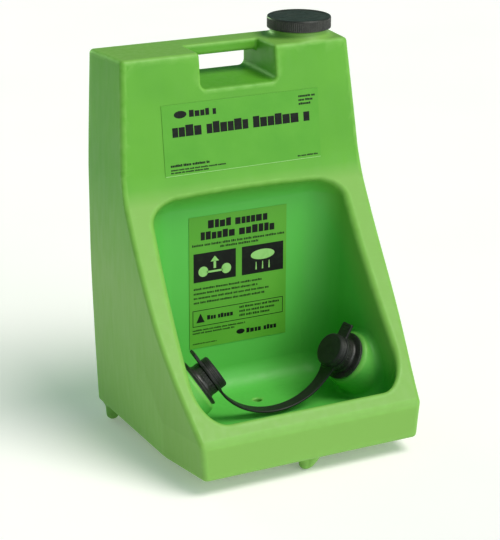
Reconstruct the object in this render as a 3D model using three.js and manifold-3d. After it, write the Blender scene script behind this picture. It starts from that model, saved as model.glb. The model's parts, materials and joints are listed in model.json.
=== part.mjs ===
// Gravity-fed eyewash station: a hollow moulded water tank with a carrying handle and a filler neck,
// a bowl moulded into its raked front, and two angled spray nozzles whose rubber caps are joined by a
// pull strap. Millimetres, +Z up, front faces -Y, x = 0 is the mid-plane, z = 0 is the floor.
import * as THREE from 'three';
import { mergeVertices } from 'three/addons/utils/BufferGeometryUtils.js';
import Module from 'manifold-3d';

const wasm = await Module();
wasm.setup();

// ---- Overall sizes ----
const WIDTH = 393.7;
const DEPTH = 342.9;
const TANK_HEIGHT = 571.5;            // feet to top deck, filler cap not counted
const GAP = 0.3;                      // clearance between pieces that touch
const SLIDE_GAP = 0.5;                // clearance between pieces that slide or turn on each other
const CUT_PAST = 20;                  // how far a cutting solid runs past the face that it opens

// ---- Tank ----
const WALL = 4;
const BODY_BASE_Z = 23.6;             // underside of the tank, above the feet
const TOP_DEPTH = 99.5;               // depth of the top deck, front edge to back
const BREAK_DEPTH = 124.5;            // depth where the upright panel turns into the raked front
const BREAK_Z = TANK_HEIGHT - 184.5;
const KNEE_Z = 79;                    // top of the short front skirt
const RAKE_AT_BREAK = 0.52;           // forward run per unit of drop, just under the break
const FRONT_CORNER_R = 7;
const REAR_CORNER_R = 6;
const CREASE_R = 8;
const TOP_EDGE_R = 6;
const BASE_EDGE_R = 6;
const CREASE_OFFSET = 102;            // side crease runs this far behind the front edge
const CREASE_TO_REAR = 6;             // and never nearer to the back than this
const LEAST_CORNER_R = 2;
// How much narrower than the full half-width the shell is, by height share from base to top.
const FRONT_NARROWING = [[0, 24], [0.1, 18.5], [0.25, 6.5], [0.35, 1.8], [0.5, 0.8], [0.68, 2.6], [1, 14.4]];
const REAR_NARROWING = [[0, 8], [0.2, 3.6], [0.45, 0], [0.68, 0], [1, 6.2]];

// ---- Carrying handle ----
const HANDLE_HALF_WIDTH = 61;
const NOTCH_DROP = 52;                // notch floor below the top deck
const BAR_DEPTH = 44;                 // front to back
const BAR_HEIGHT = 17.5;
const NOTCH_CORNER_R = 9;

// ---- Filler neck and cap ----
const CAP_R = 47.9;
const CAP_SKIRT_H = 17;
const CAP_TOP_T = 3;
const CAP_WALL_T = 5;
const CAP_RIM_GAP = 0.5;              // cap skirt above the collar
const CAP_SIDE_GAP = 21.15;           // cap edge inside the side face
const CAP_BACK_GAP = 0.6;             // cap edge inside the back face
const COLLAR_H = 11;
const COLLAR_FLARE = 5;
const NECK_WALL = 4;
const COLLAR_INSET = 2;               // collar's foot inside the cap's edge
const COLLAR_WAIST = [0.3, 0.4];      // share of its flare taken in, at this share of its height
const NECK_SINK = 9;                  // neck solid runs this far down into the deck
const NECK_BORE_DEPTH = 40;
const CAP_EDGE = 2.5;
const CAP_EDGE_CUT = 0.32;            // share of the cap's edge left at its bevel's middle
const LINER_T = 2;
const LINER_EDGE_GAP = 0.2;
const VENT_R = 6;
const VENT_T = 2.4;

// ---- Bowl ----
const BOWL_BACK_DEPTH = 101.5;        // bowl's back wall, in front of the tank's back face
const BOWL_FLOOR_Z = 50;
const BOWL_TOP_Z = BREAK_Z - 5;
const BOWL_SHOULDER_DROP = 47;        // arch of the rim's top edge starts this far below its crown
const CEILING_DROP = 42;              // back wall leans forward over this height
const CEILING_REACH = 26;
const CEILING_POWER = 1.5;            // how late the lean sets in
const ARCH_RISE_POWER = 4;            // rim's arch: a flat crown
const ARCH_SPREAD_POWER = 2.2;        // and nearly round shoulders
const LEAST_BOWL_HALF = 6;
const BOWL_CORNER_SHARE = 0.8;        // a bowl corner is at most this share of its half-width
const LIP_T = 21.5;                   // front skirt face to bowl
const BOWL_FLOOR_R = 35;
const BOWL_BACK_CORNER_R = 42;
const BOWL_FRONT_CORNER_R = 30;
const RIM_LAND = [[0, 27], [0.35, 30], [0.8, 38], [1, 42]];   // rim width each side, floor to crown
const BOWL_BACK_LAND = 48;            // same, at the back wall
const DRAIN_R = 6;
const DRAIN_PILLAR_R = 13;
const DRAIN_FROM_BACK = 64.95;        // drain in front of the bowl's back wall

// ---- Feet ----
const FOOT_R = 11;
const FOOT_TIP_R = 8.5;
const FOOT_TIP_H = 5;
const FOOT_SINK = 1;                  // foot solid runs this far up into the base
const FOOT_INSET_SIDE = 21;
const FOOT_INSET_REAR = 26;
const FOOT_INSET_FRONT = 26;

// ---- Nozzles: local +Z is the spray axis, 0 is the middle of the flange ----
const NOZZLE_INSET = 78.15;           // from the side face
const NOZZLE_FROM_BACK = 111.95;      // from the bowl's back wall
const NOZZLE_Z = 116.5;
const NOZZLE_RISE = 32.9;             // degrees above level
const NOZZLE_FORWARD = 8.7;           // degrees turned to the front
const FLANGE_R = 36.5;
const FLANGE_T = 4;
const FLANGE_EDGE = 1;
const GASKET_T = 1.4;
const GASKET_INSET = 1;
const RING_LEDGE = 6.5;               // ring outside the spigot
const RING_TOP = 15;
const RING_EDGE = 1.5;
const SPIGOT_R = 19;
const SPIGOT_TOP = 26.5;
const SPIGOT_EDGE = 1;
const NOZZLE_BORE_R = 15.5;
const SHANK_WALL = 3;
const NUT_WALL = 8.5;
const NUT_T = 8;
const NUT_SIDES = 8;
const WASHER_T = 1.5;
const WASHER_PAST_NUT = 1;
const SHANK_END_PAST_NUT = 2.5;
const SPRAY_T = 4;
const SPRAY_HOLE_R = 1.6;
const SPRAY_RING_R = 8.5;
const SPRAY_HOLES = 6;
const SCREEN_T = 1.6;
const SCREEN_HOLE = 3.4;
const SCREEN_PITCH = 5.2;
const SCREEN_RIM = 0.6;
const BOSS_MARGIN = 3.5;              // boss face outside the flange
const BOSS_SPREAD = 16;               // radius gained from its face to its foot
const BOSS_LENGTH = 77;

// ---- Rubber caps and pull strap ----
const PLUG_WALL = 6;
const PLUG_RIM = 2;                   // base ring outside the drum
const PLUG_TOP = 32;
const PLUG_FACE_T = 3;
const PLUG_STEP = 1;                  // height of the step from its base ring to its drum
const PLUG_EDGE = [[0, 4], [1.2, 1.6], [4, 0.4]];   // rounded edge of its face: in from side, down from top
const SEAL_T = 1.6;
const SEAL_BORE_R = 8;
const TAB_LENGTH = 19;
const TAB_WIDTH = 21;
const TAB_T = 4.6;
const TAB_ROOT = 3;                   // tab solid runs this far into the base ring
const STRAP_WIDTH = 20;
const STRAP_FLARE = 4;                // half-width gained at each end
const STRAP_FLARE_POWER = 8;
const STRAP_END_GAP = 0.7;            // strap's end to the cap
const STRAP_T = 4;
const STRAP_REACH = 72;               // length of the strap curve's end tangents
const STRAP_STEPS = 24;

// ---- Labels ----
const LABEL_T = 0.5;
const FRONT_LABEL_SIDE_GAP = 69.85;   // label edge inside the side face
const FRONT_LABEL_H = 103;
const FRONT_LABEL_DROP = 69;          // top edge below the top deck, along the panel
const BOWL_LABEL_SIDE_GAP = 25.85;    // label edge to where the back wall's corners begin
const BOWL_LABEL_TOP_GAP = 54;        // below the bowl's crown
const BOWL_LABEL_BASE_Z = 122;

const ROUND = 28;                     // sides of a round piece
const SMALL_ROUND = 24;
const NECK_ROUND = 48;
const CAP_ROUND = 64;
const NUT_BORE_STEPS = 16;
const SPRAY_STEPS = 10;
const ARC = 4;                        // steps in a rounded corner
const OUTER_LEVELS = 20;              // height steps of the outer skin
const INNER_LEVELS = 10;
const LEVEL_SHARES = [0.15, 0.6, 0.25];   // of those steps: skirt, slope, panel
const BOWL_STEPS = [10, 8];           // bowl levels: below its arch, in its arch
const BOWL_WALL_STEPS = [7, 5];       // same, for the water side of its wall

// ---- Derived places ----
const HALF_W = WIDTH / 2;
const FRONT_Y = -DEPTH / 2;
const BACK_Y = DEPTH / 2;
const BODY_HEIGHT = TANK_HEIGHT - BODY_BASE_Z;
const TOP_FRONT_Y = BACK_Y - TOP_DEPTH;
const BREAK_Y = BACK_Y - BREAK_DEPTH;
const BOWL_BACK_Y = BACK_Y - BOWL_BACK_DEPTH;
const BOWL_FRONT_Y = FRONT_Y + LIP_T;
const BAR_FRONT_Y = BACK_Y - BAR_DEPTH;
const NOTCH_FLOOR_Z = TANK_HEIGHT - NOTCH_DROP;
const CAP_X = HALF_W - CAP_R - CAP_SIDE_GAP;
const CAP_Y = BACK_Y - CAP_R - CAP_BACK_GAP;
const CAP_BASE_Z = TANK_HEIGHT + COLLAR_H + CAP_RIM_GAP;
const CAP_TOP_Z = CAP_BASE_Z + CAP_SKIRT_H;
const LINER_TOP_Z = CAP_TOP_Z - CAP_TOP_T - GAP;
const NECK_TOP_Z = LINER_TOP_Z - LINER_T - GAP;
const NECK_R = CAP_R - CAP_WALL_T - SLIDE_GAP;
const DRAIN_Y = BOWL_BACK_Y - DRAIN_FROM_BACK;
const NOZZLE_X = HALF_W - NOZZLE_INSET;
const NOZZLE_Y = BOWL_BACK_Y - NOZZLE_FROM_BACK;
const RING_R = SPIGOT_R + RING_LEDGE;
const SHANK_R = NOZZLE_BORE_R + SHANK_WALL;
const NUT_R = SHANK_R + NUT_WALL;
const BOSS_FACE_R = FLANGE_R + BOSS_MARGIN;
const BOSS_FOOT_R = BOSS_FACE_R + BOSS_SPREAD;
const PLUG_FACE_R = SPIGOT_R + SLIDE_GAP + PLUG_WALL;
const PLUG_BASE_R = PLUG_FACE_R + PLUG_RIM;
const FRONT_LABEL_W = 2 * (HALF_W - FRONT_LABEL_SIDE_GAP);
const BOWL_LABEL_W = 2 * (HALF_W - BOWL_BACK_LAND - BOWL_BACK_CORNER_R - BOWL_LABEL_SIDE_GAP);
const BOWL_LABEL_H = BOWL_TOP_Z - BOWL_LABEL_TOP_GAP - BOWL_LABEL_BASE_Z;

// ---- Finishes ----
const tankPlastic = new THREE.MeshStandardMaterial({ color: 0x6fb644, roughness: 0.5, metalness: 0 });
const blackPlastic = new THREE.MeshStandardMaterial({ color: 0x191c19, roughness: 0.45, metalness: 0 });
const blackRubber = new THREE.MeshStandardMaterial({ color: 0x1c1f1b, roughness: 0.7, metalness: 0 });
const greyRubber = new THREE.MeshStandardMaterial({ color: 0x45484a, roughness: 0.8, metalness: 0 });
const whitePlastic = new THREE.MeshStandardMaterial({ color: 0xe6e8e4, roughness: 0.5, metalness: 0 });
const steelMesh = new THREE.MeshStandardMaterial({ color: 0xb4b8ba, roughness: 0.35, metalness: 1 });
const labelFilm = new THREE.MeshStandardMaterial({ color: 0x76ba49, roughness: 0.35, metalness: 0 });

const station = new THREE.Group();

function solidOf(geometry) {
  const bare = geometry.clone();
  for (const name of Object.keys(bare.attributes)) if (name !== 'position') bare.deleteAttribute(name);
  const merged = mergeVertices(bare, 1e-4);
  const vertProperties = new Float32Array(merged.attributes.position.array);
  const triVerts = new Uint32Array(merged.index.array);
  return new wasm.Manifold(new wasm.Mesh({ numProp: 3, vertProperties, triVerts }));
}

function geometryOf(solid) {
  const { vertProperties, triVerts } = solid.getMesh();
  const geometry = new THREE.BufferGeometry();
  geometry.setAttribute('position', new THREE.BufferAttribute(vertProperties, 3));
  geometry.setIndex(new THREE.BufferAttribute(triVerts, 1));
  geometry.computeVertexNormals();
  return geometry;
}

function addPiece(parent, name, geometry, material) {
  const mesh = new THREE.Mesh(geometry, material);
  mesh.name = name;
  parent.add(mesh);
  return mesh;
}

// A smooth curve through [share, value] stations, read at any share.
function throughStations(stations, share) {
  const last = stations.length - 1;
  const u = Math.min(Math.max(share, stations[0][0]), stations[last][0]);
  let i = 0;
  while (i < last - 1 && u > stations[i + 1][0]) i += 1;
  const slope = (k) => {
    const a = stations[Math.max(k - 1, 0)];
    const b = stations[Math.min(k + 1, last)];
    return (b[1] - a[1]) / (b[0] - a[0]);
  };
  const [u0, v0] = stations[i];
  const [u1, v1] = stations[i + 1];
  const span = u1 - u0;
  const s = (u - u0) / span;
  const s2 = s * s;
  const s3 = s2 * s;
  return v0 * (2 * s3 - 3 * s2 + 1) + slope(i) * span * (s3 - 2 * s2 + s)
    + v1 * (3 * s2 - 2 * s3) + slope(i + 1) * span * (s3 - s2);
}

// Corner list [x, y, radius], anticlockwise and convex, to an outline with rounded corners.
function roundedOutline(corners) {
  const points = [];
  corners.forEach(([x, y, radius], i) => {
    const corner = new THREE.Vector2(x, y);
    const [px, py] = corners[(i + corners.length - 1) % corners.length];
    const [nx, ny] = corners[(i + 1) % corners.length];
    const before = new THREE.Vector2(px, py).sub(corner).normalize();
    const after = new THREE.Vector2(nx, ny).sub(corner).normalize();
    const half = before.angleTo(after) / 2;
    const centre = before.clone().add(after).normalize().multiplyScalar(radius / Math.sin(half)).add(corner);
    const reach = radius / Math.tan(half);
    const start = before.multiplyScalar(reach).add(corner).sub(centre);
    const end = after.multiplyScalar(reach).add(corner).sub(centre);
    const turn = Math.atan2(start.x * end.y - start.y * end.x, start.dot(end));
    for (let k = 0; k <= ARC; k += 1) {
      points.push(start.clone().rotateAround(new THREE.Vector2(), (turn * k) / ARC).add(centre));
    }
  });
  return points;
}

// A closed skin over equal rings of points, each ring anticlockwise seen from the end it heads for.
function loft(rings) {
  const count = rings[0].length;
  const positions = rings.flat().flatMap((p) => [p.x, p.y, p.z]);
  const index = [];
  for (let i = 0; i < rings.length - 1; i += 1) {
    for (let j = 0; j < count; j += 1) {
      const a = i * count + j;
      const b = i * count + ((j + 1) % count);
      index.push(a, b, b + count, a, b + count, a + count);
    }
  }
  for (const [ring, flip] of [[rings[0], true], [rings[rings.length - 1], false]]) {
    const hub = positions.length / 3;
    const middle = ring.reduce((sum, p) => sum.add(p), new THREE.Vector3()).divideScalar(count);
    positions.push(middle.x, middle.y, middle.z);
    const base = flip ? 0 : (rings.length - 1) * count;
    for (let j = 0; j < count; j += 1) {
      const a = base + j;
      const b = base + ((j + 1) % count);
      if (flip) index.push(hub, b, a);
      else index.push(hub, a, b);
    }
  }
  const geometry = new THREE.BufferGeometry();
  geometry.setAttribute('position', new THREE.BufferAttribute(new Float32Array(positions), 3));
  geometry.setIndex(index);
  geometry.computeVertexNormals();
  return geometry;
}

const atHeight = (outline, z) => outline.map((p) => new THREE.Vector3(p.x, p.y, z));

// Solid of revolution about local +Z from [radius, z] points that close on themselves or on the axis.
function turned(profile, sides = ROUND) {
  const points = profile.map(([r, z]) => new THREE.Vector2(r, z));
  return new THREE.LatheGeometry(points, sides).rotateX(Math.PI / 2);
}

const ring = (inner, outer, low, high, sides = ROUND) =>
  turned([[inner, low], [outer, low], [outer, high], [inner, high], [inner, low]], sides);

const disc = (radius, low, high, sides = ROUND) =>
  turned([[0, low], [radius, low], [radius, high], [0, high]], sides);

// ---- Tank surfaces ----
// Front of the tank at height z: an upright panel, a slope that rakes out faster and faster, a skirt.
function frontY(z) {
  if (z >= BREAK_Z) return BREAK_Y + ((TOP_FRONT_Y - BREAK_Y) * (z - BREAK_Z)) / (TANK_HEIGHT - BREAK_Z);
  const fall = BREAK_Z - z;
  const full = BREAK_Z - KNEE_Z;
  const growth = (BREAK_Y - FRONT_Y - RAKE_AT_BREAK * full) / (full * full);
  return Math.max(FRONT_Y, BREAK_Y - RAKE_AT_BREAK * fall - growth * fall * fall);
}

const narrowing = (stations, z) => Math.max(0, throughStations(stations, (z - BODY_BASE_Z) / BODY_HEIGHT));
const frontHalfWidth = (z) => HALF_W - narrowing(FRONT_NARROWING, z);
const rearHalfWidth = (z) => HALF_W - narrowing(REAR_NARROWING, z);

// Outline of the tank at height z, moved in by inset.
function tankOutline(z, inset) {
  const front = frontY(z) + inset;
  const rear = BACK_Y - inset;
  const crease = Math.min(frontY(z) + CREASE_OFFSET, BACK_Y - REAR_CORNER_R - CREASE_TO_REAR);
  const frontHalf = frontHalfWidth(z) - inset;
  const rearHalf = rearHalfWidth(z) - inset;
  const frontR = Math.max(FRONT_CORNER_R - inset, LEAST_CORNER_R);
  const rearR = Math.max(REAR_CORNER_R - inset, LEAST_CORNER_R);
  return roundedOutline([
    [-frontHalf, front, frontR], [frontHalf, front, frontR],
    [rearHalf, crease, CREASE_R], [rearHalf, rear, rearR],
    [-rearHalf, rear, rearR], [-rearHalf, crease, CREASE_R],
  ]);
}

// Heights and edge insets up the tank, with rounded edges at its base and at its top deck. The panel's
// break and the knee of the skirt are always among them, and steps share out the heights between.
function tankLevels(low, high, baseR, topR, steps) {
  const levels = [];
  for (let k = 0; k < ARC; k += 1) {
    const angle = (Math.PI / 2) * (k / ARC);
    levels.push([low + baseR * (1 - Math.cos(angle)), baseR * (1 - Math.sin(angle))]);
  }
  const marks = [low + baseR, KNEE_Z, BREAK_Z, high - topR];
  LEVEL_SHARES.forEach((share, i) => {
    const count = Math.max(1, Math.round(share * steps));
    for (let k = 0; k < count; k += 1) levels.push([marks[i] + ((marks[i + 1] - marks[i]) * k) / count, 0]);
  });
  for (let k = 0; k <= ARC; k += 1) {
    const angle = (Math.PI / 2) * (k / ARC);
    levels.push([high - topR * (1 - Math.sin(angle)), topR * (1 - Math.cos(angle))]);
  }
  return levels;
}

// The tank's closed outer form, or the same form moved in by inset.
function tankEnvelope(inset, steps) {
  const low = BODY_BASE_Z + inset;
  const high = TANK_HEIGHT - inset;
  const levels = tankLevels(low, high, BASE_EDGE_R - inset / 2, TOP_EDGE_R - inset / 2, steps);
  return loft(levels.map(([z, edge]) => atHeight(tankOutline(z, inset + edge), z)));
}

// Outline of the bowl at height z; grow moves its walls out, so that the tank wall can follow them.
function bowlOutline(z, grow, edge) {
  const rise = Math.max(0, (z - (BOWL_TOP_Z - CEILING_DROP)) / CEILING_DROP);
  const back = BOWL_BACK_Y - CEILING_REACH * rise ** CEILING_POWER + grow - edge;
  const share = (z - BOWL_FLOOR_Z) / (BOWL_TOP_Z - BOWL_FLOOR_Z);
  const open = HALF_W - throughStations(RIM_LAND, share);
  const openY = Math.max(frontY(z), BOWL_FRONT_Y);
  const backHalf = HALF_W - BOWL_BACK_LAND;
  const taper = (open - backHalf) / (BOWL_BACK_Y - openY);
  const arch = Math.max(0, (z - (BOWL_TOP_Z - BOWL_SHOULDER_DROP)) / BOWL_SHOULDER_DROP);
  const shrink = (1 - Math.min(arch, 1) ** ARCH_RISE_POWER) ** (1 / ARCH_SPREAD_POWER);
  const halfAt = (y) => Math.max((backHalf + taper * (BOWL_BACK_Y - y)) * shrink + grow - edge,
    LEAST_BOWL_HALF);
  const front = BOWL_FRONT_Y - grow + edge;
  const backR = Math.min(BOWL_BACK_CORNER_R, halfAt(back) * BOWL_CORNER_SHARE);
  const frontR = Math.min(BOWL_FRONT_CORNER_R, halfAt(front) * BOWL_CORNER_SHARE);
  return roundedOutline([
    [-halfAt(front), front, frontR], [halfAt(front), front, frontR],
    [halfAt(back), back, backR], [-halfAt(back), back, backR],
  ]);
}

// The bowl as a solid to cut with; straight and arched are its levels below and in the rim's arch.
function bowlCutter(grow, [straight, arched]) {
  const low = BOWL_FLOOR_Z - grow;
  const high = BOWL_TOP_Z + grow;
  const rings = [];
  for (let k = 0; k < ARC; k += 1) {
    const angle = (Math.PI / 2) * (k / ARC);
    const z = low + BOWL_FLOOR_R * (1 - Math.cos(angle));
    rings.push(atHeight(bowlOutline(z + grow, grow, BOWL_FLOOR_R * (1 - Math.sin(angle))), z));
  }
  const archFrom = BOWL_TOP_Z - BOWL_SHOULDER_DROP;
  for (let k = 0; k <= straight; k += 1) {
    const z = low + BOWL_FLOOR_R + ((archFrom - low - BOWL_FLOOR_R) * k) / straight;
    rings.push(atHeight(bowlOutline(z, grow, 0), z));
  }
  for (let k = 1; k <= arched; k += 1) {
    const share = Math.sin((Math.PI / 2) * (k / arched));
    rings.push(atHeight(bowlOutline(archFrom + BOWL_SHOULDER_DROP * share, grow, 0),
      archFrom + (high - archFrom) * share));
  }
  return solidOf(loft(rings));
}

// A block along Y with a rounded X-Z section.
function blockAlongY(halfWidth, low, high, radius, from, to) {
  const outline = roundedOutline([
    [-halfWidth, low, radius], [halfWidth, low, radius],
    [halfWidth, high, radius], [-halfWidth, high, radius],
  ]);
  const at = (y) => outline.map((p) => new THREE.Vector3(p.x, y, p.y)).reverse();
  return solidOf(loft([at(from), at(to)]));
}

// Handle: a notch open to the top and the front, and a hand slot under the bar behind it.
function handleCutter(grow) {
  const notch = blockAlongY(HANDLE_HALF_WIDTH + grow, NOTCH_FLOOR_Z - grow, TANK_HEIGHT + CUT_PAST,
    NOTCH_CORNER_R, FRONT_Y, BAR_FRONT_Y + grow);
  const slot = blockAlongY(HANDLE_HALF_WIDTH + grow, NOTCH_FLOOR_Z - grow, TANK_HEIGHT - BAR_HEIGHT + grow,
    NOTCH_CORNER_R, BAR_FRONT_Y - NOTCH_CORNER_R, BACK_Y + CUT_PAST);
  return notch.add(slot);
}

// ---- Nozzle frames ----
const SIDES = [['left', -1], ['right', 1]];
const rise = THREE.MathUtils.degToRad(NOZZLE_RISE);
const forward = THREE.MathUtils.degToRad(NOZZLE_FORWARD);

// Local frame of a nozzle: +Z the spray axis, +Y up the slope of the flange, origin in the flange.
function nozzleFrame(side) {
  const axis = new THREE.Vector3(-side * Math.cos(rise) * Math.cos(forward),
    -Math.cos(rise) * Math.sin(forward), Math.sin(rise));
  const up = new THREE.Vector3(0, 0, 1).addScaledVector(axis, -axis.z).normalize();
  const across = new THREE.Vector3().crossVectors(up, axis);
  const frame = new THREE.Matrix4().makeBasis(across, up, axis);
  return frame.setPosition(side * NOZZLE_X, NOZZLE_Y, NOZZLE_Z);
}

const BOSS_FACE = -FLANGE_T / 2 - GASKET_T - 2 * GAP;
const BOSS_INSIDE = BOSS_FACE - WALL;

function bossCone(side, grow, face) {
  const cone = turned([
    [0, face - BOSS_LENGTH], [BOSS_FOOT_R + grow, face - BOSS_LENGTH], [BOSS_FACE_R + grow, face], [0, face],
  ]);
  return solidOf(cone.applyMatrix4(nozzleFrame(side)));
}

function tank() {
  const inside = solidOf(tankEnvelope(WALL, INNER_LEVELS));
  let bowl = bowlCutter(0, BOWL_STEPS);
  let waterSpace = inside.subtract(bowlCutter(WALL, BOWL_WALL_STEPS)).subtract(handleCutter(WALL));
  const pillar = disc(DRAIN_PILLAR_R, 0, BOWL_FLOOR_Z).translate(0, DRAIN_Y, 0);
  waterSpace = waterSpace.subtract(solidOf(pillar));
  for (const [, side] of SIDES) {
    bowl = bowl.subtract(bossCone(side, 0, BOSS_FACE));
    waterSpace = waterSpace.add(bossCone(side, -WALL, BOSS_INSIDE).intersect(inside));
  }
  let shell = solidOf(tankEnvelope(0, OUTER_LEVELS)).subtract(bowl).subtract(handleCutter(0));
  const footTop = BODY_BASE_Z + FOOT_SINK;
  const footProfile = [[0, 0], [FOOT_TIP_R, 0], [FOOT_R, FOOT_TIP_H], [FOOT_R, footTop], [0, footTop]];
  const footPlaces = [
    [0, FRONT_Y + FOOT_INSET_FRONT],
    [HALF_W - FOOT_INSET_SIDE, BACK_Y - FOOT_INSET_REAR],
    [FOOT_INSET_SIDE - HALF_W, BACK_Y - FOOT_INSET_REAR],
  ];
  for (const [x, y] of footPlaces) {
    shell = shell.add(solidOf(turned(footProfile, SMALL_ROUND).translate(x, y, 0)));
  }
  const foot = CAP_R - COLLAR_INSET;
  const [waistIn, waistUp] = COLLAR_WAIST;
  const neckProfile = [
    [0, TANK_HEIGHT - NECK_SINK], [foot, TANK_HEIGHT - NECK_SINK], [foot, TANK_HEIGHT],
    [foot - COLLAR_FLARE * waistIn, TANK_HEIGHT + COLLAR_H * waistUp],
    [CAP_R - COLLAR_FLARE, TANK_HEIGHT + COLLAR_H],
    [NECK_R, TANK_HEIGHT + COLLAR_H], [NECK_R, NECK_TOP_Z], [0, NECK_TOP_Z],
  ];
  shell = shell.add(solidOf(turned(neckProfile, NECK_ROUND).translate(CAP_X, CAP_Y, 0)));
  const bore = disc(NECK_R - NECK_WALL, TANK_HEIGHT - NECK_BORE_DEPTH, NECK_TOP_Z + CUT_PAST);
  shell = shell.subtract(waterSpace).subtract(solidOf(bore.translate(CAP_X, CAP_Y, 0)));
  const drain = disc(DRAIN_R, -CUT_PAST, BOWL_FLOOR_Z + CUT_PAST, SMALL_ROUND);
  shell = shell.subtract(solidOf(drain.translate(0, DRAIN_Y, 0)));
  for (const [, side] of SIDES) {
    const port = disc(SHANK_R + GAP, BOSS_INSIDE - CUT_PAST, BOSS_FACE + CUT_PAST);
    shell = shell.subtract(solidOf(port.applyMatrix4(nozzleFrame(side))));
  }
  return geometryOf(shell);
}

addPiece(station, 'tank_shell', tank(), tankPlastic);

// ---- Filler cap, liner and vent ----
const capGroup = new THREE.Group();
capGroup.position.set(CAP_X, CAP_Y, 0);
station.add(capGroup);
const capInner = CAP_R - CAP_WALL_T;
addPiece(capGroup, 'filler_cap', turned([
  [0, CAP_TOP_Z - CAP_TOP_T], [capInner, CAP_TOP_Z - CAP_TOP_T], [capInner, CAP_BASE_Z], [CAP_R, CAP_BASE_Z],
  [CAP_R, CAP_TOP_Z - CAP_EDGE], [CAP_R - CAP_EDGE * CAP_EDGE_CUT, CAP_TOP_Z - CAP_EDGE * CAP_EDGE_CUT],
  [CAP_R - CAP_EDGE, CAP_TOP_Z], [0, CAP_TOP_Z],
], CAP_ROUND), blackPlastic);
addPiece(capGroup, 'cap_liner',
  ring(VENT_R + GAP, NECK_R - LINER_EDGE_GAP, LINER_TOP_Z - LINER_T, LINER_TOP_Z), greyRubber);
addPiece(capGroup, 'vent_plug', disc(VENT_R, LINER_TOP_Z - VENT_T, LINER_TOP_Z, SMALL_ROUND), whitePlastic);

// ---- Nozzles, caps ----
function nozzleBody() {
  const inside = BOSS_INSIDE - GAP - WASHER_T - GAP - NUT_T - SHANK_END_PAST_NUT;
  return turned([
    [NOZZLE_BORE_R, inside], [SHANK_R, inside], [SHANK_R, -FLANGE_T / 2], [FLANGE_R, -FLANGE_T / 2],
    [FLANGE_R, FLANGE_T / 2 - FLANGE_EDGE], [FLANGE_R - FLANGE_EDGE, FLANGE_T / 2], [RING_R, FLANGE_T / 2],
    [RING_R, RING_TOP - RING_EDGE], [RING_R - RING_EDGE, RING_TOP], [SPIGOT_R, RING_TOP],
    [SPIGOT_R, SPIGOT_TOP - SPIGOT_EDGE], [SPIGOT_R - SPIGOT_EDGE, SPIGOT_TOP],
    [NOZZLE_BORE_R, SPIGOT_TOP], [NOZZLE_BORE_R, inside],
  ]);
}

function lockNut() {
  const outline = new THREE.Shape();
  for (let k = 0; k < NUT_SIDES; k += 1) {
    const angle = (2 * Math.PI * k) / NUT_SIDES;
    outline[k ? 'lineTo' : 'moveTo'](NUT_R * Math.cos(angle), NUT_R * Math.sin(angle));
  }
  outline.closePath();
  outline.holes.push(new THREE.Path().absarc(0, 0, SHANK_R + GAP, 0, 2 * Math.PI, true));
  const top = BOSS_INSIDE - GAP - WASHER_T - GAP;
  const build = { depth: NUT_T, bevelEnabled: false, curveSegments: NUT_BORE_STEPS };
  return new THREE.ExtrudeGeometry(outline, build).translate(0, 0, top - NUT_T);
}

function sprayPlate() {
  const radius = NOZZLE_BORE_R - GAP;
  const plate = new THREE.Shape().absarc(0, 0, radius, 0, 2 * Math.PI, false);
  for (let k = 0; k < SPRAY_HOLES; k += 1) {
    const angle = (2 * Math.PI * k) / SPRAY_HOLES;
    plate.holes.push(new THREE.Path().absarc(SPRAY_RING_R * Math.cos(angle), SPRAY_RING_R * Math.sin(angle),
      SPRAY_HOLE_R, 0, 2 * Math.PI, true));
  }
  const build = { depth: SPRAY_T, bevelEnabled: false, curveSegments: SPRAY_STEPS };
  return new THREE.ExtrudeGeometry(plate, build).translate(0, 0, SPIGOT_TOP - SPIGOT_EDGE - SPRAY_T);
}

function inletScreen() {
  const radius = NOZZLE_BORE_R - GAP;
  const top = BOSS_INSIDE - NUT_T + SCREEN_T;
  let screen = solidOf(disc(radius, top - SCREEN_T, top));
  const rows = Math.floor(radius / SCREEN_PITCH);
  for (let i = -rows; i <= rows; i += 1) {
    for (let j = -rows; j <= rows; j += 1) {
      const x = i * SCREEN_PITCH;
      const y = j * SCREEN_PITCH;
      if (Math.hypot(x, y) + SCREEN_HOLE < radius - SCREEN_RIM) {
        const hole = new THREE.BoxGeometry(SCREEN_HOLE, SCREEN_HOLE, 3 * SCREEN_T);
        screen = screen.subtract(solidOf(hole.translate(x, y, top)));
      }
    }
  }
  return geometryOf(screen);
}

// Cup-shaped rubber cap over the spigot, with its pull tab on the upper side.
function plugCap() {
  const base = RING_TOP + SLIDE_GAP;
  const bore = SPIGOT_R + SLIDE_GAP;
  const edge = PLUG_EDGE.map(([inward, down]) => [PLUG_FACE_R - inward, PLUG_TOP - down]);
  const cup = turned([
    [bore, base], [PLUG_BASE_R, base], [PLUG_BASE_R, base + TAB_T], [PLUG_FACE_R, base + TAB_T + PLUG_STEP],
    ...edge, [0, PLUG_TOP], [0, PLUG_TOP - PLUG_FACE_T], [bore, PLUG_TOP - PLUG_FACE_T], [bore, base],
  ]);
  const tab = new THREE.BoxGeometry(TAB_WIDTH, TAB_LENGTH + TAB_ROOT, TAB_T)
    .translate(0, PLUG_BASE_R + (TAB_LENGTH - TAB_ROOT) / 2, base + TAB_T / 2);
  return geometryOf(solidOf(cup).add(solidOf(tab)));
}

function capSeal() {
  const top = PLUG_TOP - PLUG_FACE_T - GAP;
  return ring(SEAL_BORE_R, SPIGOT_R, top - SEAL_T, top);
}

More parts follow.
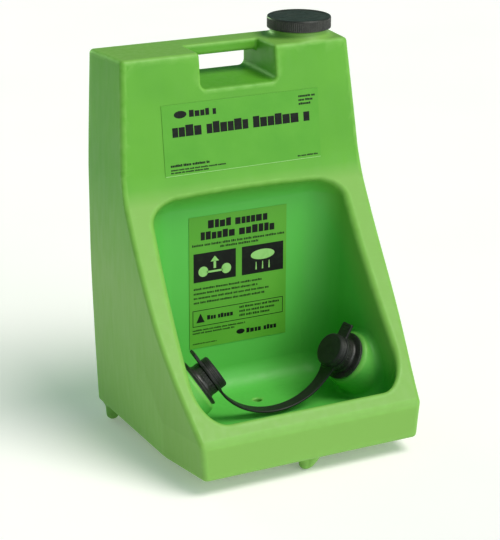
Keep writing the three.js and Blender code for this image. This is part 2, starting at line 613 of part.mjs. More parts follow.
for (const [name, side] of SIDES) {
  const frame = new THREE.Group();
  frame.applyMatrix4(nozzleFrame(side));
  station.add(frame);
  const face = BOSS_FACE + GAP;
  const washerTop = BOSS_INSIDE - GAP;
  addPiece(frame, `nozzle_body_${name}`, nozzleBody(), blackPlastic);
  addPiece(frame, `nozzle_gasket_${name}`,
    ring(SHANK_R + GAP, FLANGE_R - GASKET_INSET, face, face + GASKET_T), greyRubber);
  addPiece(frame, `lock_washer_${name}`,
    ring(SHANK_R + GAP, NUT_R + WASHER_PAST_NUT, washerTop - WASHER_T, washerTop), whitePlastic);
  addPiece(frame, `lock_nut_${name}`, lockNut(), blackPlastic);
  addPiece(frame, `spray_plate_${name}`, sprayPlate(), whitePlastic);
  addPiece(frame, `inlet_screen_${name}`, inletScreen(), steelMesh);
  addPiece(frame, `nozzle_cap_${name}`, plugCap(), blackRubber);
  addPiece(frame, `cap_seal_${name}`, capSeal(), greyRubber);
}

// ---- Pull strap: a flat band that hangs from the lower side of one cap to the other ----
function pullStrap() {
  const across = (side) => new THREE.Vector3().setFromMatrixColumn(nozzleFrame(side), 0)
    .multiplyScalar(-side);
  const anchor = (side) => new THREE.Vector3(0, -(PLUG_BASE_R + STRAP_END_GAP),
    RING_TOP + SLIDE_GAP + STRAP_T / 2).applyMatrix4(nozzleFrame(side));
  const pull = (side) => new THREE.Vector3().setFromMatrixColumn(nozzleFrame(side), 1)
    .multiplyScalar(-STRAP_REACH).add(anchor(side));
  const path = new THREE.CubicBezierCurve3(anchor(-1), pull(-1), pull(1), anchor(1));
  const rings = [];
  for (let k = 0; k <= STRAP_STEPS; k += 1) {
    const t = k / STRAP_STEPS;
    const centre = path.getPoint(t);
    const tangent = path.getTangent(t);
    const width = across(-1).lerp(across(1), t).normalize();
    const thick = new THREE.Vector3().crossVectors(tangent, width).normalize();
    const half = STRAP_WIDTH / 2 + STRAP_FLARE * (2 * t - 1) ** STRAP_FLARE_POWER;
    const corner = (a, b) => centre.clone()
      .addScaledVector(width, a * half).addScaledVector(thick, (b * STRAP_T) / 2);
    rings.push([corner(-1, -1), corner(1, -1), corner(1, 1), corner(-1, 1)]);
  }
  return loft(rings);
}

addPiece(station, 'pull_strap', pullStrap(), blackRubber);

// ---- Labels ----
function frontLabel() {
  const lean = Math.atan2(TOP_FRONT_Y - BREAK_Y, TANK_HEIGHT - BREAK_Z);
  return new THREE.BoxGeometry(FRONT_LABEL_W, LABEL_T, FRONT_LABEL_H)
    .translate(0, -GAP - LABEL_T / 2, -FRONT_LABEL_DROP - FRONT_LABEL_H / 2)
    .rotateX(-lean)
    .translate(0, TOP_FRONT_Y, TANK_HEIGHT);
}

const bowlLabel = new THREE.BoxGeometry(BOWL_LABEL_W, LABEL_T, BOWL_LABEL_H)
  .translate(0, BOWL_BACK_Y - GAP - LABEL_T / 2, BOWL_LABEL_BASE_Z + BOWL_LABEL_H / 2);

addPiece(station, 'front_label', frontLabel(), labelFilm);
addPiece(station, 'instruction_label', bowlLabel, labelFilm);

export default station;
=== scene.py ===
"""Looks of a gravity-fed eyewash station: moulded green tank, black filler cap, two capped spray nozzles.

Forms are worked out in millimetres in the station's own frame (+X right, +Y to the back, +Z up, z = 0 on the
floor) and written to the meshes in metres. Moulded pieces are closed level surfaces of a rounded field that
numpy evaluates on a grid; turned and swept pieces are grids of two parameters.
"""

import json
import logging
import math
from dataclasses import dataclass, field
from enum import Enum
from typing import Callable

import bpy
import numpy as np
from mathutils import Matrix, Vector

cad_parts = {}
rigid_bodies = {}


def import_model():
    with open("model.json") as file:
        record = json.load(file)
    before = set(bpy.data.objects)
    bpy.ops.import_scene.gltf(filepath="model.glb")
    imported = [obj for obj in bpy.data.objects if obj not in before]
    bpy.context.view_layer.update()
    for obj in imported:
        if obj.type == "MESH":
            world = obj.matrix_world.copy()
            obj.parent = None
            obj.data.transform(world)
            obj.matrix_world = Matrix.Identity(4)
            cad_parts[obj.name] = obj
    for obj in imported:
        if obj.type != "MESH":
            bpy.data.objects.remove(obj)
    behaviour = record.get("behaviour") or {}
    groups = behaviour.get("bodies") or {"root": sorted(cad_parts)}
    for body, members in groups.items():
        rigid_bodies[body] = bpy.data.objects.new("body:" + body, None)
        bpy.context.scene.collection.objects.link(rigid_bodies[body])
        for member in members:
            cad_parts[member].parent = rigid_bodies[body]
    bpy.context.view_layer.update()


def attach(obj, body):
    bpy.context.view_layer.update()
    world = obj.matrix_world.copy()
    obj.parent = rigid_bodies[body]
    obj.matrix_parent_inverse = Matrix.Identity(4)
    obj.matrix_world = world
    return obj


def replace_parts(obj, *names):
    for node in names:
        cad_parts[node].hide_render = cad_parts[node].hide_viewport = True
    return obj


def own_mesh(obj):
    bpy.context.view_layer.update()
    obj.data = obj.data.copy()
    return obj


log = logging.getLogger("eyewash")

MM = 0.001
Array = np.ndarray
Field = Callable[[Array, Array, Array], Array]


# ---------------------------------------------------------------- field arithmetic

def cut_round(a: Array, b: Array, radius: float) -> Array:
    """Space inside both fields, with the edge where they meet rounded off.

    Formula: the length of the two positive parts of (a + r, b + r), plus the larger of them where both are
    negative, less r.

    Args:
        a: First field, negative inside.
        b: Second field, negative inside.
        radius: Radius of the rounded edge.

    Returns:
        The field of the rounded intersection.
    """
    u, v = a + radius, b + radius
    return np.hypot(np.maximum(u, 0), np.maximum(v, 0)) + np.minimum(np.maximum(u, v), 0) - radius


def join_round(a: Array, b: Array, radius: float) -> Array:
    """Space inside either field, with the inner corner where they meet filled by a fillet of the radius."""
    return -cut_round(-a, -b, radius)


def through_stations(stations: tuple[tuple[float, float], ...], share: Array) -> Array:
    """A smooth curve through (share, value) stations.

    Formula: a cubic Hermite span between neighbours, its slope at each station that of the line between the
    stations on either side.

    Args:
        stations: Shares in rising order, with the value at each.
        share: Where to read the curve.

    Returns:
        The values there.
    """
    u, v = np.array(stations, dtype=float).T
    ahead = np.minimum(np.arange(len(u)) + 1, len(u) - 1)
    behind = np.maximum(np.arange(len(u)) - 1, 0)
    slope = (v[ahead] - v[behind]) / (u[ahead] - u[behind])
    at = np.clip(share, u[0], u[-1])
    i = np.clip(np.searchsorted(u, at, side="right") - 1, 0, len(u) - 2)
    span = u[i + 1] - u[i]
    s = (at - u[i]) / span
    rise = s * s * (3 - 2 * s)
    return (
        v[i] * (1 - rise) + v[i + 1] * rise
        + slope[i] * span * s * (1 - s) ** 2 - slope[i + 1] * span * s * s * (1 - s)
    )


# ---------------------------------------------------------------- mesh making

def new_object(name: str, points: Array, faces: Array | list, smooth: bool = True) -> bpy.types.Object:
    """Put a mesh into the scene, its place in its points.

    Args:
        name: The piece's name.
        points: Points in millimetres, one row each.
        faces: Rows of point numbers, anticlockwise seen from outside.
        smooth: Whether its faces are shaded smooth.

    Returns:
        The new object, at the origin.
    """
    mesh = bpy.data.meshes.new(name)
    mesh.from_pydata((np.asarray(points) * MM).tolist(), [], np.asarray(faces).tolist()
                     if not isinstance(faces, list) else faces)
    mesh.polygons.foreach_set("use_smooth", np.full(len(mesh.polygons), smooth))
    mesh.update()
    obj = bpy.data.objects.new(name, mesh)
    bpy.context.scene.collection.objects.link(obj)
    return obj


def points_of(obj: bpy.types.Object) -> Array:
    """The object's points in millimetres, one row each.

    Args:
        obj: A piece with a mesh.

    Returns:
        Array (points, 3).
    """
    flat = np.empty(len(obj.data.vertices) * 3)
    obj.data.vertices.foreach_get("co", flat)
    return flat.reshape(-1, 3) / MM


def mark(obj: bpy.types.Object, name: str, shares: Array) -> None:
    """Store one share per point as an attribute the materials can read by that name."""
    layer = obj.data.attributes.new(name, "FLOAT", "POINT")
    layer.data.foreach_set("value", np.clip(shares, 0, 1).astype(np.float32))


def grid_faces(rows: int, columns: int, closed_rows: bool, closed_columns: bool) -> Array:
    """Quads of a grid of points numbered row by row, joined end to end where it closes on itself.

    Args:
        rows: Number of rows.
        columns: Number of points in each row.
        closed_rows: Whether the last row joins the first.
        closed_columns: Whether each row ends on its own start.

    Returns:
        Rows of four point numbers.
    """
    r = np.arange(rows if closed_rows else rows - 1)
    c = np.arange(columns if closed_columns else columns - 1)
    r, c = (a.ravel() for a in np.meshgrid(r, c, indexing="ij"))
    r2, c2 = (r + 1) % rows, (c + 1) % columns
    return np.stack([r * columns + c, r * columns + c2, r2 * columns + c2, r2 * columns + c], axis=1)


@dataclass
class LevelSurface:
    """The closed surface where a field is zero, as a net of quads with one point in each cell it crosses."""

    form: Field
    low: tuple[float, float, float]
    high: tuple[float, float, float]
    step: float
    keep: float = 1.0

    def grid(self) -> tuple[list[Array], Array]:
        """Work out the field over the box, a cell past it on every side.

        Returns:
            The grid's three axes, and the field on it.
        """
        axes = [np.arange(a - self.step, b + 2 * self.step, self.step) for a, b in zip(self.low, self.high)]
        x, y, z = np.meshgrid(*axes, indexing="ij", sparse=True)
        return axes, np.asarray(self.form(x, y, z), dtype=np.float32)

    def net(self) -> tuple[Array, Array]:
        """Points and quads of the net.

        Formula: a cell's point is the mean of the places where the field changes sign along the cell's
        edges, each found by straight interpolation; each such edge gives one quad between its four cells.

        Returns:
            Points in millimetres, and quads facing out.
        """
        axes, value = self.grid()
        shape = np.array(value.shape)
        inside = value < 0
        total = np.zeros((int(shape.prod()), 4))
        edges = []
        for axis in range(3):
            span = [slice(None)] * 3
            span[axis] = slice(0, -1)
            near = tuple(span)
            span[axis] = slice(1, None)
            far = tuple(span)
            at = np.argwhere(inside[near] != inside[far])
            ends = at.copy()
            ends[:, axis] += 1
            v0, v1 = value[tuple(at.T)], value[tuple(ends.T)]
            place = at.astype(float)
            place[:, axis] += v0 / (v0 - v1)
            side, up = (axis + 1) % 3, (axis + 2) % 3
            cells = np.repeat(at[:, None, :], 4, axis=1)
            cells[:, [0, 3], side] -= 1
            cells[:, [0, 1], up] -= 1
            flat = np.ravel_multi_index(tuple(np.moveaxis(cells, 2, 0)), tuple(shape))
            for corner in range(4):
                for k in range(3):
                    total[:, k] += np.bincount(flat[:, corner], place[:, k], minlength=len(total))
                total[:, 3] += np.bincount(flat[:, corner], minlength=len(total))
            edges.append(np.where(inside[tuple(at.T)][:, None], flat, flat[:, ::-1]))
        used = np.flatnonzero(total[:, 3])
        number = np.full(len(total), -1)
        number[used] = np.arange(len(used))
        start = np.array([a[0] for a in axes])
        points = start + total[used, :3] / total[used, 3:] * self.step
        return points, number[np.concatenate(edges)]

    def slope(self, points: Array) -> tuple[Array, Array]:
        """The field and its gradient, by small steps either way along each axis.

        Args:
            points: Points in millimetres, one row each.

        Returns:
            The field at the points, and its gradient there.
        """
        nudge = 0.05
        gradient = np.empty_like(points)
        for k in range(3):
            ahead, behind = points.copy(), points.copy()
            ahead[:, k] += nudge
            behind[:, k] -= nudge
            gradient[:, k] = (self.form(*ahead.T) - self.form(*behind.T)) / (2 * nudge)
        return self.form(*points.T), gradient

    def settle(self, points: Array) -> Array:
        """Move points onto the zero surface, each along the gradient by no more than half a cell.

        Args:
            points: Points near the surface, one row each.

        Returns:
            The points, moved.
        """
        rounds, least = 3, 0.05
        for _ in range(rounds):
            value, gradient = self.slope(points)
            size = np.maximum((gradient ** 2).sum(axis=1), least)
            move = gradient * (value / size)[:, None]
            length = np.maximum(np.linalg.norm(move, axis=1), 1e-9)
            points = points - move * np.minimum(1, self.step / 2 / length)[:, None]
        return points

    def rims(self, points: Array, bend: float) -> Array:
        """How tightly the surface bulges at each point, from 0 where flat to 1 at that bend.

        Formula: the sum of the field's second differences along the three axes, a point's share of bend.

        Args:
            points: Points on the surface, one row each.
            bend: The bend that counts as full.

        Returns:
            One share per point.
        """
        reach = 1.5
        total = -6 * self.form(*points.T)
        for k in range(3):
            for sign in (-1, 1):
                moved = points.copy()
                moved[:, k] += sign * reach
                total = total + self.form(*moved.T)
        return np.clip(total / reach ** 2 / bend, 0, 1)

    def build(self, name: str) -> bpy.types.Object:
        """Make the piece, thinned where it is flat if keep is under 1, with normals from the field.

        Args:
            name: The piece's name.

        Returns:
            The piece.
        """
        points, quads = self.net()
        obj = new_object(name, self.settle(points), quads)
        if self.keep < 1:
            thin = obj.modifiers.new("thin", "DECIMATE")
            thin.ratio = self.keep
            evaluated = obj.evaluated_get(bpy.context.evaluated_depsgraph_get())
            mesh = bpy.data.meshes.new_from_object(evaluated)
            obj.modifiers.clear()
            obj.data = mesh
            mesh.name = name
        mesh, points = obj.data, self.settle(points_of(obj))
        mesh.vertices.foreach_set("co", (points * MM).ravel())
        mesh.polygons.foreach_set("use_smooth", np.ones(len(mesh.polygons), dtype=bool))
        _, gradient = self.slope(points)
        gradient /= np.maximum(np.linalg.norm(gradient, axis=1, keepdims=True), 1e-9)
        mesh.normals_split_custom_set_from_vertices(gradient.tolist())
        mesh.update()
        return obj


# ---------------------------------------------------------------- profiles and sweeps

def rounded_profile(corners: list[tuple[float, float, float]], steps: int, closed: bool) -> Array:
    """Corners (r, z, radius) to a line whose corners are arcs of those radii.

    Formula: each corner is a quarter-like arc drawn as a quadratic blend between the two points that lie
    its radius away from it along its sides, so a radius of 0 leaves it sharp.

    Args:
        corners: The line's corners in order.
        steps: Points in each arc.
        closed: Whether the last corner joins the first.

    Returns:
        The line's points, one row each.
    """
    c = np.array(corners, dtype=float)
    at, radius = c[:, :2], c[:, 2:]
    before, after = np.roll(at, 1, axis=0) - at, np.roll(at, -1, axis=0) - at
    if not closed:
        radius[[0, -1]] = 0
    before *= radius / np.linalg.norm(before, axis=1, keepdims=True)
    after *= radius / np.linalg.norm(after, axis=1, keepdims=True)
    s = np.linspace(0, 1, steps)[None, :, None]
    line = (at[:, None] + before[:, None] * (1 - s) ** 2 + after[:, None] * s ** 2).reshape(-1, 2)
    fresh = np.linalg.norm(line - np.roll(line, 1, axis=0), axis=1) > 1e-6
    fresh[0] = True
    return line[fresh]


def turned(profile: Array, sides: int, relief: Callable[[Array, Array, Array], Array] | None = None) -> tuple:
    """Turn a profile about the Z axis.

    Formula: a point is (r cos a, r sin a, z) for each profile point and each of the equal angles a, with r
    lessened by the relief there.

    Args:
        profile: Points (r, z), anticlockwise in the r-z plane; it closes on itself, or starts and ends on
            the axis.
        sides: Number of angles.
        relief: Depth to take off the radius, from r, z and the angle.

    Returns:
        Points and faces of a closed surface.
    """
    angle = np.arange(sides) * 2 * math.pi / sides
    r, a = np.meshgrid(profile[:, 0], angle, indexing="ij")
    z = np.broadcast_to(profile[:, 1:], r.shape)
    if relief is not None:
        r = r - relief(r, z, a)
    points = np.stack([r * np.cos(a), r * np.sin(a), z], axis=2)
    if profile[0, 0] > 1e-6:
        return points.reshape(-1, 3), grid_faces(len(profile), sides, True, True).tolist()
    rings = len(profile) - 2
    poles = [[0, 0, profile[0, 1]], [0, 0, profile[-1, 1]]]
    here = np.arange(sides)
    ahead, last = (here + 1) % sides, (rings - 1) * sides
    low, high = np.full(sides, rings * sides), np.full(sides, rings * sides + 1)
    faces = grid_faces(rings, sides, False, True).tolist()
    faces += np.stack([low, ahead, here], axis=1).tolist()
    faces += np.stack([last + here, last + ahead, high], axis=1).tolist()
    return np.concatenate([points[1:-1].reshape(-1, 3), poles]), faces


def plates(corners: Array, thickness: float) -> tuple[Array, Array]:
    """Closed flat plates from their outlines.

    Formula: each outline of four corners in the x-z plane is one face at y = 0 and a second face thickness
    nearer to the front, joined by four sides.

    Args:
        corners: Array (plates, 4, 2) of x and z, anticlockwise seen from the front.
        thickness: How far the plates stand to the front.

    Returns:
        Points and quads.
    """
    count = len(corners)
    rear = np.concatenate([corners[..., :1], np.zeros((count, 4, 1)), corners[..., 1:]], axis=2)
    front = rear - [0, thickness, 0]
    points = np.concatenate([rear, front], axis=1).reshape(-1, 3)
    sides = np.array([[4, 5, 6, 7], [3, 2, 1, 0], [0, 1, 5, 4], [1, 2, 6, 5], [2, 3, 7, 6], [3, 0, 4, 7]])
    return points, (sides[None] + 8 * np.arange(count)[:, None, None]).reshape(-1, 4)


# ---------------------------------------------------------------- finishes

def linear(colour: tuple[int, int, int]) -> tuple[float, float, float, float]:
    """Turn a colour of 0 to 255 as a screen shows it into the linear values that a shader takes.

    Args:
        colour: Red, green and blue, 0 to 255.

    Returns:
        Red, green, blue and a full alpha, 0 to 1.
    """
    c = np.array(colour) / 255
    c = np.where(c <= 0.04045, c / 12.92, ((c + 0.055) / 1.055) ** 2.4)
    return (*(float(v) for v in c), 1.0)


@dataclass
class Sheet:
    """A material while it is wired up: its node tree, its main shader and places in millimetres."""

    name: str
    material: bpy.types.Material = field(init=False)
    shader: bpy.types.Node = field(init=False)
    place: bpy.types.NodeSocket = field(init=False)

    def __post_init__(self) -> None:
        """Start the material with a main shader and the object's own coordinates, in millimetres."""
        self.material = bpy.data.materials.new(self.name)
        self.material.use_nodes = True
        self.shader = self.material.node_tree.nodes["Principled BSDF"]
        where = self.add("ShaderNodeTexCoord").outputs["Object"]
        self.place = self.add("ShaderNodeVectorMath", {0: where, "Scale": 1 / MM}, operation="SCALE").outputs[0]

    def add(self, kind: str, inputs: dict | None = None, **settings: object) -> bpy.types.Node:
        """Add a node.

        Args:
            kind: The node's type.
            inputs: A value or another node's output for each named or numbered input.
            settings: The node's own options.

        Returns:
            The node.
        """
        node = self.material.node_tree.nodes.new(kind)
        for key, value in settings.items():
            setattr(node, key, value)
        for key, value in (inputs or {}).items():
            self.put(node.inputs[key], value)
        return node

    def put(self, socket: bpy.types.NodeSocket, value: object) -> None:
        """Join a node's output to an input, or set the input's value."""
        if isinstance(value, bpy.types.NodeSocket):
            self.material.node_tree.links.new(value, socket)
        else:
            socket.default_value = value

    def marked(self, name: str) -> bpy.types.NodeSocket:
        """The share stored on the object's points under that name."""
        return self.add("ShaderNodeAttribute", attribute_name=name).outputs["Fac"]

    def noise(self, size: float, detail: float = 3, stretch: tuple = (1, 1, 1)) -> bpy.types.NodeSocket:
        """Noise whose patches are about size millimetres, drawn out along the axes by stretch.

        Args:
            size: Breadth of a patch.
            detail: Number of finer layers over it.
            stretch: How much longer the patches are along X, Y and Z.

        Returns:
            The noise, 0 to 1.
        """
        where = self.place
        if stretch != (1, 1, 1):
            where = self.add("ShaderNodeVectorMath", {0: where, 1: stretch}, operation="DIVIDE").outputs[0]
        return self.add("ShaderNodeTexNoise", {"Vector": where, "Scale": 1 / size, "Detail": detail}).outputs[0]

    def spread(self, value: bpy.types.NodeSocket, low: float, high: float, to: tuple) -> bpy.types.NodeSocket:
        """Stretch the part of a value between low and high over the range to, and clamp the rest."""
        inputs = {"Value": value, "From Min": low, "From Max": high, "To Min": to[0], "To Max": to[1]}
        return self.add("ShaderNodeMapRange", inputs).outputs[0]

    def tint(self, share: object, a: object, b: object, blend: str = "MIX") -> bpy.types.NodeSocket:
        """Mix colour b into colour a by the share.

        Args:
            share: How much of b there is, 0 to 1.
            a: The colour under it.
            b: The colour mixed in.
            blend: The way of mixing.

        Returns:
            The mixed colour.
        """
        node = self.add("ShaderNodeMix", data_type="RGBA", blend_type=blend)
        for socket, value in ((0, share), (6, a), (7, b)):
            self.put(node.inputs[socket], value)
        return node.outputs[2]

    def bump(self, height: object, depth: float, under: object = None) -> bpy.types.NodeSocket:
        """Relief of a depth in millimetres from a height of 0 to 1, over the relief under it.

        Args:
            height: A height of 0 to 1.
            depth: Height of 1 in millimetres.
            under: Relief that this one lies on.

        Returns:
            The normal.
        """
        inputs = {"Height": height, "Distance": depth * MM, "Strength": 1.0}
        if under is not None:
            inputs["Normal"] = under
        return self.add("ShaderNodeBump", inputs).outputs[0]

    def finish(
        self, colour: object, roughness: object, normal: object, **constants: float
    ) -> bpy.types.Material:
        """Join what was made to the main shader and set its constants on its own sockets.

        Args:
            colour: The base colour, or its pattern.
            roughness: The roughness, or its pattern.
            normal: The relief.
            constants: Values that are the same all over, by the name of their socket.

        Returns:
            The finished material.
        """
        for key, value in (("Base Color", colour), ("Roughness", roughness), ("Normal", normal)):
            self.put(self.shader.inputs[key], value)
        for key, value in constants.items():
            self.shader.inputs[key.replace("_", " ")].default_value = value
        return self.material


@dataclass(frozen=True)
class TankPlastic:
    """Coloured polyethylene: slow tone shifts, orange-peel skin, flow marks; paler edges of rub wear and painted
    highlight, a painted lighter tone low down, on the raked slope and on the deck, and painted shade in the bowl.
    """

    name: str = "tank_plastic"
    colour: tuple = (96, 167, 48)
    deep: tuple = (89, 160, 45)
    # Paler tone for rub wear and specks, also used as a painted highlight on bulging edges.
    rubbed: tuple = (132, 190, 88)
    # Painted light: a paler tone for the lower body, the raked slope and the top deck, as these faces look when
    # lit.
    faded: tuple = (124, 174, 78)
    # Painted shade: the greener, bluer colour the bowl's inside shows in its shade, kept a little light to stand
    # for light bounced in it.
    sheltered: tuple = (88, 184, 74)
    peel: float = 1.1
    peel_depth: float = 0.035
    wave: float = 38.0
    wave_depth: float = 0.5
    gloss: tuple = (0.36, 0.5)

    def material(self) -> bpy.types.Material:
        """Wire up the material.

        Returns:
            The material.
        """
        s = Sheet(self.name)
        slow = s.spread(s.noise(90, 2), 0.35, 0.65, (0, 1))
        colour = s.tint(slow, linear(self.colour), linear(self.deep))
        # Painted light: the paler tone over the low mark.
        colour = s.tint(s.marked("low"), colour, linear(self.faded))
        # Painted shade over the inside of the bowl, by the inside mark.
        colour = s.tint(s.marked("inside"), colour, linear(self.sheltered))
        # Paler bulging edges: partly rub wear, partly a painted highlight where the edges catch the light.
        rim = s.marked("rim")
        patch = s.spread(s.noise(14, 4), 0.3, 0.7, (0.15, 0.6))
        edge_wear_and_highlight = s.add("ShaderNodeMath", {0: rim, 1: patch}, operation="MULTIPLY").outputs[0]
        colour = s.tint(edge_wear_and_highlight, colour, linear(self.rubbed))
        speck = s.spread(s.noise(0.9, 2), 0.68, 0.78, (0, 0.25))
        colour = s.tint(speck, colour, linear(self.rubbed))
        flow = s.noise(9, 3, stretch=(1, 1, 5))
        rough = s.spread(flow, 0.3, 0.7, self.gloss)
        waves = s.bump(s.noise(self.wave, 1), self.wave_depth)
        streaks = s.bump(flow, 0.06, waves)
        return s.finish(colour, rough, s.bump(s.noise(self.peel, 2), self.peel_depth, streaks),
                        IOR=1.5, Specular_IOR_Level=0.28)


@dataclass(frozen=True)
class BlackPlastic:
    """Hard black plastic with a pebbled skin, grey in its hollows and a little paler where hands rub it."""

    name: str = "black_plastic"
    colour: tuple = (24, 25, 23)
    dusty: tuple = (74, 74, 69)
    pebble: float = 1.5
    pebble_depth: float = 0.14
    gloss: tuple = (0.3, 0.46)

    def material(self) -> bpy.types.Material:
        """Wire up the material.

        Returns:
            The material.
        """
        s = Sheet(self.name)
        cells = s.add("ShaderNodeTexVoronoi", {"Vector": s.place, "Scale": 1 / self.pebble},
                      feature="SMOOTH_F1").outputs["Distance"]
        hollow = s.spread(cells, 0.35, 0.75, (0, 0.45))
        colour = s.tint(hollow, linear(self.colour), linear(self.dusty))
        film = s.spread(s.noise(16, 4), 0.45, 0.75, (0, 0.35))
        colour = s.tint(film, colour, linear(self.dusty))
        rough = s.spread(s.noise(7, 3), 0.3, 0.7, self.gloss)
        fine = s.bump(s.noise(0.4, 2), 0.02)
        up = s.spread(cells, 0, 0.8, (1, 0))
        return s.finish(colour, rough, s.bump(up, self.pebble_depth, fine), IOR=1.5, Specular_IOR_Level=0.5)


@dataclass(frozen=True)
class Rubber:
    """Moulded rubber: a matt skin with a grey bloom, fine grit and faint drag marks from its mould."""

    name: str = "black_rubber"
    colour: tuple = (11, 12, 11)
    bloom: tuple = (32, 35, 31)
    gloss: tuple = (0.42, 0.6)
    grit: float = 0.7
    grit_depth: float = 0.03

    def material(self) -> bpy.types.Material:
        """Wire up the material.

        Returns:
            The material.
        """
        s = Sheet(self.name)
        cloud = s.spread(s.noise(12, 5), 0.42, 0.72, (0, 0.5))
        colour = s.tint(cloud, linear(self.colour), linear(self.bloom))
        grain = s.noise(self.grit, 3)
        colour = s.tint(s.spread(grain, 0.6, 0.8, (0, 0.3)), colour, linear(self.bloom))
        drag = s.noise(3, 2, stretch=(4, 1, 1))
        rough = s.spread(drag, 0.3, 0.7, self.gloss)
        return s.finish(colour, rough, s.bump(grain, self.grit_depth, s.bump(drag, 0.05)),
                        IOR=1.52, Specular_IOR_Level=0.5, Sheen_Weight=0.03, Sheen_Roughness=0.5)


@dataclass(frozen=True)
class WhitePlastic:
    """White moulded plastic, faintly creamy in patches, with a satin skin."""

    name: str = "white_plastic"
    colour: tuple = (232, 234, 230)
    creamy: tuple = (218, 216, 202)

    def material(self) -> bpy.types.Material:
        """Wire up the material.

        Returns:
            The material.
        """
        s = Sheet(self.name)
        colour = s.tint(s.spread(s.noise(6, 4), 0.35, 0.7, (0, 1)), linear(self.colour), linear(self.creamy))
        rough = s.spread(s.noise(2.5, 3), 0.3, 0.7, (0.3, 0.48))
        return s.finish(colour, rough, s.bump(s.noise(0.6, 2), 0.015), IOR=1.49)


@dataclass(frozen=True)
class SteelMesh:
    """Stainless steel strainer: drawn grain along one way, dull spots and a slight warm cast in places."""

    name: str = "steel_mesh"
    colour: tuple = (196, 200, 202)
    warm: tuple = (180, 172, 158)

    def material(self) -> bpy.types.Material:
        """Wire up the material.

        Returns:
            The material.
        """
        s = Sheet(self.name)
        colour = s.tint(s.spread(s.noise(4, 3), 0.45, 0.75, (0, 0.7)), linear(self.colour), linear(self.warm))
        grain = s.noise(0.5, 2, stretch=(12, 1, 1))
        return s.finish(colour, s.spread(grain, 0.3, 0.7, (0.22, 0.42)), s.bump(grain, 0.01), Metallic=1.0)


@dataclass(frozen=True)
class LabelFilm:
    """Tinted vinyl film: about as dull as the tank under it, slightly rippled, with tiny trapped bubbles."""

    name: str = "label_film"
    colour: tuple = (85, 160, 44)
    pale: tuple = (91, 165, 48)

    def material(self) -> bpy.types.Material:
        """Wire up the material.

        Returns:
            The material.
        """
        s = Sheet(self.name)
        colour = s.tint(s.spread(s.noise(45, 3), 0.35, 0.65, (0, 1)), linear(self.colour), linear(self.pale))
        rough = s.spread(s.noise(11, 3), 0.3, 0.7, (0.38, 0.48))
        bubble = s.add("ShaderNodeTexVoronoi", {"Vector": s.place, "Scale": 1 / 9}).outputs["Distance"]
        dots = s.bump(s.spread(bubble, 0.04, 0.09, (1, 0)), 0.05)
        return s.finish(colour, rough, s.bump(s.noise(22, 1), 0.12, dots), IOR=1.48,
                        Specular_IOR_Level=0.28)


@dataclass(frozen=True)
class Ink:
    """Screen-printed ink: dense, with pinholes and slightly thin patches that show a lighter tone."""

    name: str = "black_ink"
    colour: tuple = (6, 10, 6)
    thin: tuple = (20, 32, 18)

    def material(self) -> bpy.types.Material:
        """Wire up the material.

        Returns:
            The material.
        """
        s = Sheet(self.name)
        patch = s.spread(s.noise(8, 3), 0.45, 0.75, (0, 0.6))
        colour = s.tint(patch, linear(self.colour), linear(self.thin))
        colour = s.tint(s.spread(s.noise(0.5, 1), 0.7, 0.8, (0, 0.6)), colour, linear(self.thin))
        rough = s.spread(s.noise(3, 2), 0.3, 0.7, (0.4, 0.55))
        return s.finish(colour, rough, s.bump(s.noise(0.5, 2), 0.01), IOR=1.48, Specular_IOR_Level=0.2)


class Finish(Enum):
    """The finishes in use, each named by the record's material slot."""

    TANK = "tank_plastic"
    HARD_BLACK = "black_plastic"
    RUBBER = "black_rubber"
    GREY_RUBBER = "grey_rubber"
    WHITE = "white_plastic"
    STEEL = "steel_mesh"
    FILM = "label_film"
    INK = "black_ink"
    PALE_INK = "pale_ink"


@dataclass
class Finishes:
    """All finishes, each made once."""

    made: dict = field(default_factory=dict)

    def __post_init__(self) -> None:
        """Make every finish."""
        self.made = {
            Finish.TANK: TankPlastic().material(),
            Finish.HARD_BLACK: BlackPlastic().material(),
            Finish.RUBBER: Rubber().material(),
            Finish.GREY_RUBBER: Rubber("grey_rubber", (70, 73, 75), (112, 116, 118), (0.5, 0.68)).material(),
            Finish.WHITE: WhitePlastic().material(),
            Finish.STEEL: SteelMesh().material(),
            Finish.FILM: LabelFilm().material(),
            Finish.INK: Ink().material(),
            # Pale ink for pale print, also used for the painted highlight along the front label's foot.
            Finish.PALE_INK: Ink("pale_ink", (150, 205, 120), (128, 190, 96)).material(),
        }

    def dress(self, obj: bpy.types.Object, finish: Finish) -> bpy.types.Object:
        """Give a piece or a CAD node one finish all over.

        Args:
            obj: The piece.
            finish: What it wears.

        Returns:
            The same piece.
        """
        obj.data.materials.clear()
        obj.data.materials.append(self.made[finish])
        return obj


# ---------------------------------------------------------------- tank

